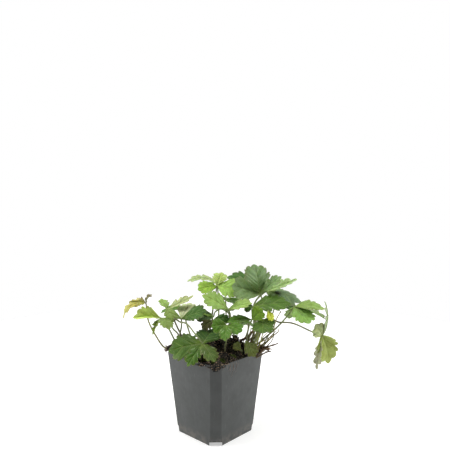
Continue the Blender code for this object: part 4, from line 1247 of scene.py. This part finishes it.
spots = np.empty(3 * len(ground.data.vertices))
ground.data.vertices.foreach_get("co", spots)
spots = spots.reshape(-1, 3) / MM
right, away = to_facing(spots[:, 0], spots[:, 1])
mossy = np.zeros(len(spots))
for moss_right, moss_away, radius in MOSS_CUSHIONS:
    near = 1 - np.hypot(right - moss_right, away - moss_away) / radius
    mossy = np.maximum(mossy, np.clip(near * MOSS_EDGE, 0, 1))
mossy[spots[:, 2] < MOSS_ABOVE] = 0
ground.data.attributes.new("hairs", "FLOAT", "POINT").data.foreach_set("value", mossy)
shoot_material = clouded("moss shoots, living", 0.8, 1.4, 2, 3,
                         [(0.35, "#3a4a1c"), (0.62, "#7d8c3a")])
moss = grow(ground, hair_maker, "moss_cushions", {
    "Density": MOSS_DENSITY, "Length": SHOOT_LENGTH * MM, "Radius": SHOOT_RADIUS * MM, "Seed": 4,
    "Material": shoot_material})
ground.data.attributes.remove(ground.data.attributes["hairs"])
hand_over(moss, "soil")

# Photo studio
# A white table and white surroundings with broad soft lights from above and from both sides. The
# side behind the camera is darker, so the cut-off front corner of the pot is darker than its walls.
TABLE_HALF_SIDE = 750
TABLE_GAP = 0.2
TABLE_GLOW = 0.50
WHITE = colour("#ffffff")
ROOM_LIGHT = 0.60
ROOM_FADE = (-0.2, 0.4)  # the room darkens between these cosines of the angle to the lens's side
LAMPS = (  # name, place in facing axes, size in metres, watts
    ("soft_box_above", (-100, 0, 1150), 0.8, 9.0),
    ("soft_box_left", (-1050, 100, 500), 0.7, 14.4),
    ("soft_box_right", (1050, 100, 500), 0.7, 14.4),
)
LAMPS_AIM = Vector((0, 0, 0.1))
LENS_PLACE = (-0.4233, -0.4131, 0.2799)  # in the model's axes, in metres
LENS_TILT = math.radians(2.53)
LENS_LENGTH = 38.6
SENSOR_WIDTH = 36

table_form = bmesh.new()
bmesh.ops.create_grid(table_form, x_segments=1, y_segments=1, size=TABLE_HALF_SIDE * MM)
table = new_piece("white_table", table_form)
table.location.z = -TABLE_GAP * MM
table.data.materials.append(clouded(
    "white acrylic table, lit from below", 0.8, 1.45, 60, 2, [(0, "#cfcecd"), (1, "#d3d3d2")],
    {"Emission Color": WHITE, "Emission Strength": TABLE_GLOW}))

room = bpy.context.scene.world or bpy.data.worlds.new("studio")
bpy.context.scene.world = room
room.use_nodes = True
tree = room.node_tree
tree.nodes.clear()
look = add(tree, "ShaderNodeTexCoord").outputs["Generated"]
toward_lens = (-TURN_SIN, -TURN_COS, 0.0)
nearness = add(tree, "ShaderNodeVectorMath", {0: look, 1: toward_lens},
               operation="DOT_PRODUCT").outputs["Value"]
level = add(tree, "ShaderNodeMapRange", {0: nearness, 1: ROOM_FADE[0], 2: ROOM_FADE[1],
                                            3: ROOM_LIGHT, 4: 0.0}, **SOFT_STEP)
seen = add(tree, "ShaderNodeLightPath").outputs["Is Camera Ray"]
strength = add(tree, "ShaderNodeMix", {0: seen, 2: level, 3: 1.0})
glow = add(tree, "ShaderNodeBackground", {"Color": WHITE, "Strength": strength})
add(tree, "ShaderNodeOutputWorld", {0: glow})

for name, spot, size, watts in LAMPS:
    lamp = bpy.data.lights.new(name, "AREA")
    lamp.size = size
    lamp.energy = watts
    holder = bpy.data.objects.new(name, lamp)
    holder.visible_camera = False
    bpy.context.scene.collection.objects.link(holder)
    holder.location = to_world([spot])[0]
    aim = LAMPS_AIM - holder.location
    holder.rotation_euler = aim.to_track_quat("-Z", "Y").to_euler()

lens = bpy.data.cameras.new("studio_camera")
lens.lens = LENS_LENGTH
lens.sensor_width = SENSOR_WIDTH
eye = bpy.data.objects.new("studio_camera", lens)
bpy.context.scene.collection.objects.link(eye)
eye.location = LENS_PLACE
gaze = Vector((TURN_SIN * math.cos(LENS_TILT), TURN_COS * math.cos(LENS_TILT),
               -math.sin(LENS_TILT)))
eye.rotation_euler = gaze.to_track_quat("-Z", "Y").to_euler()
bpy.context.scene.camera = eye
bpy.context.scene.view_settings.view_transform = "Standard"
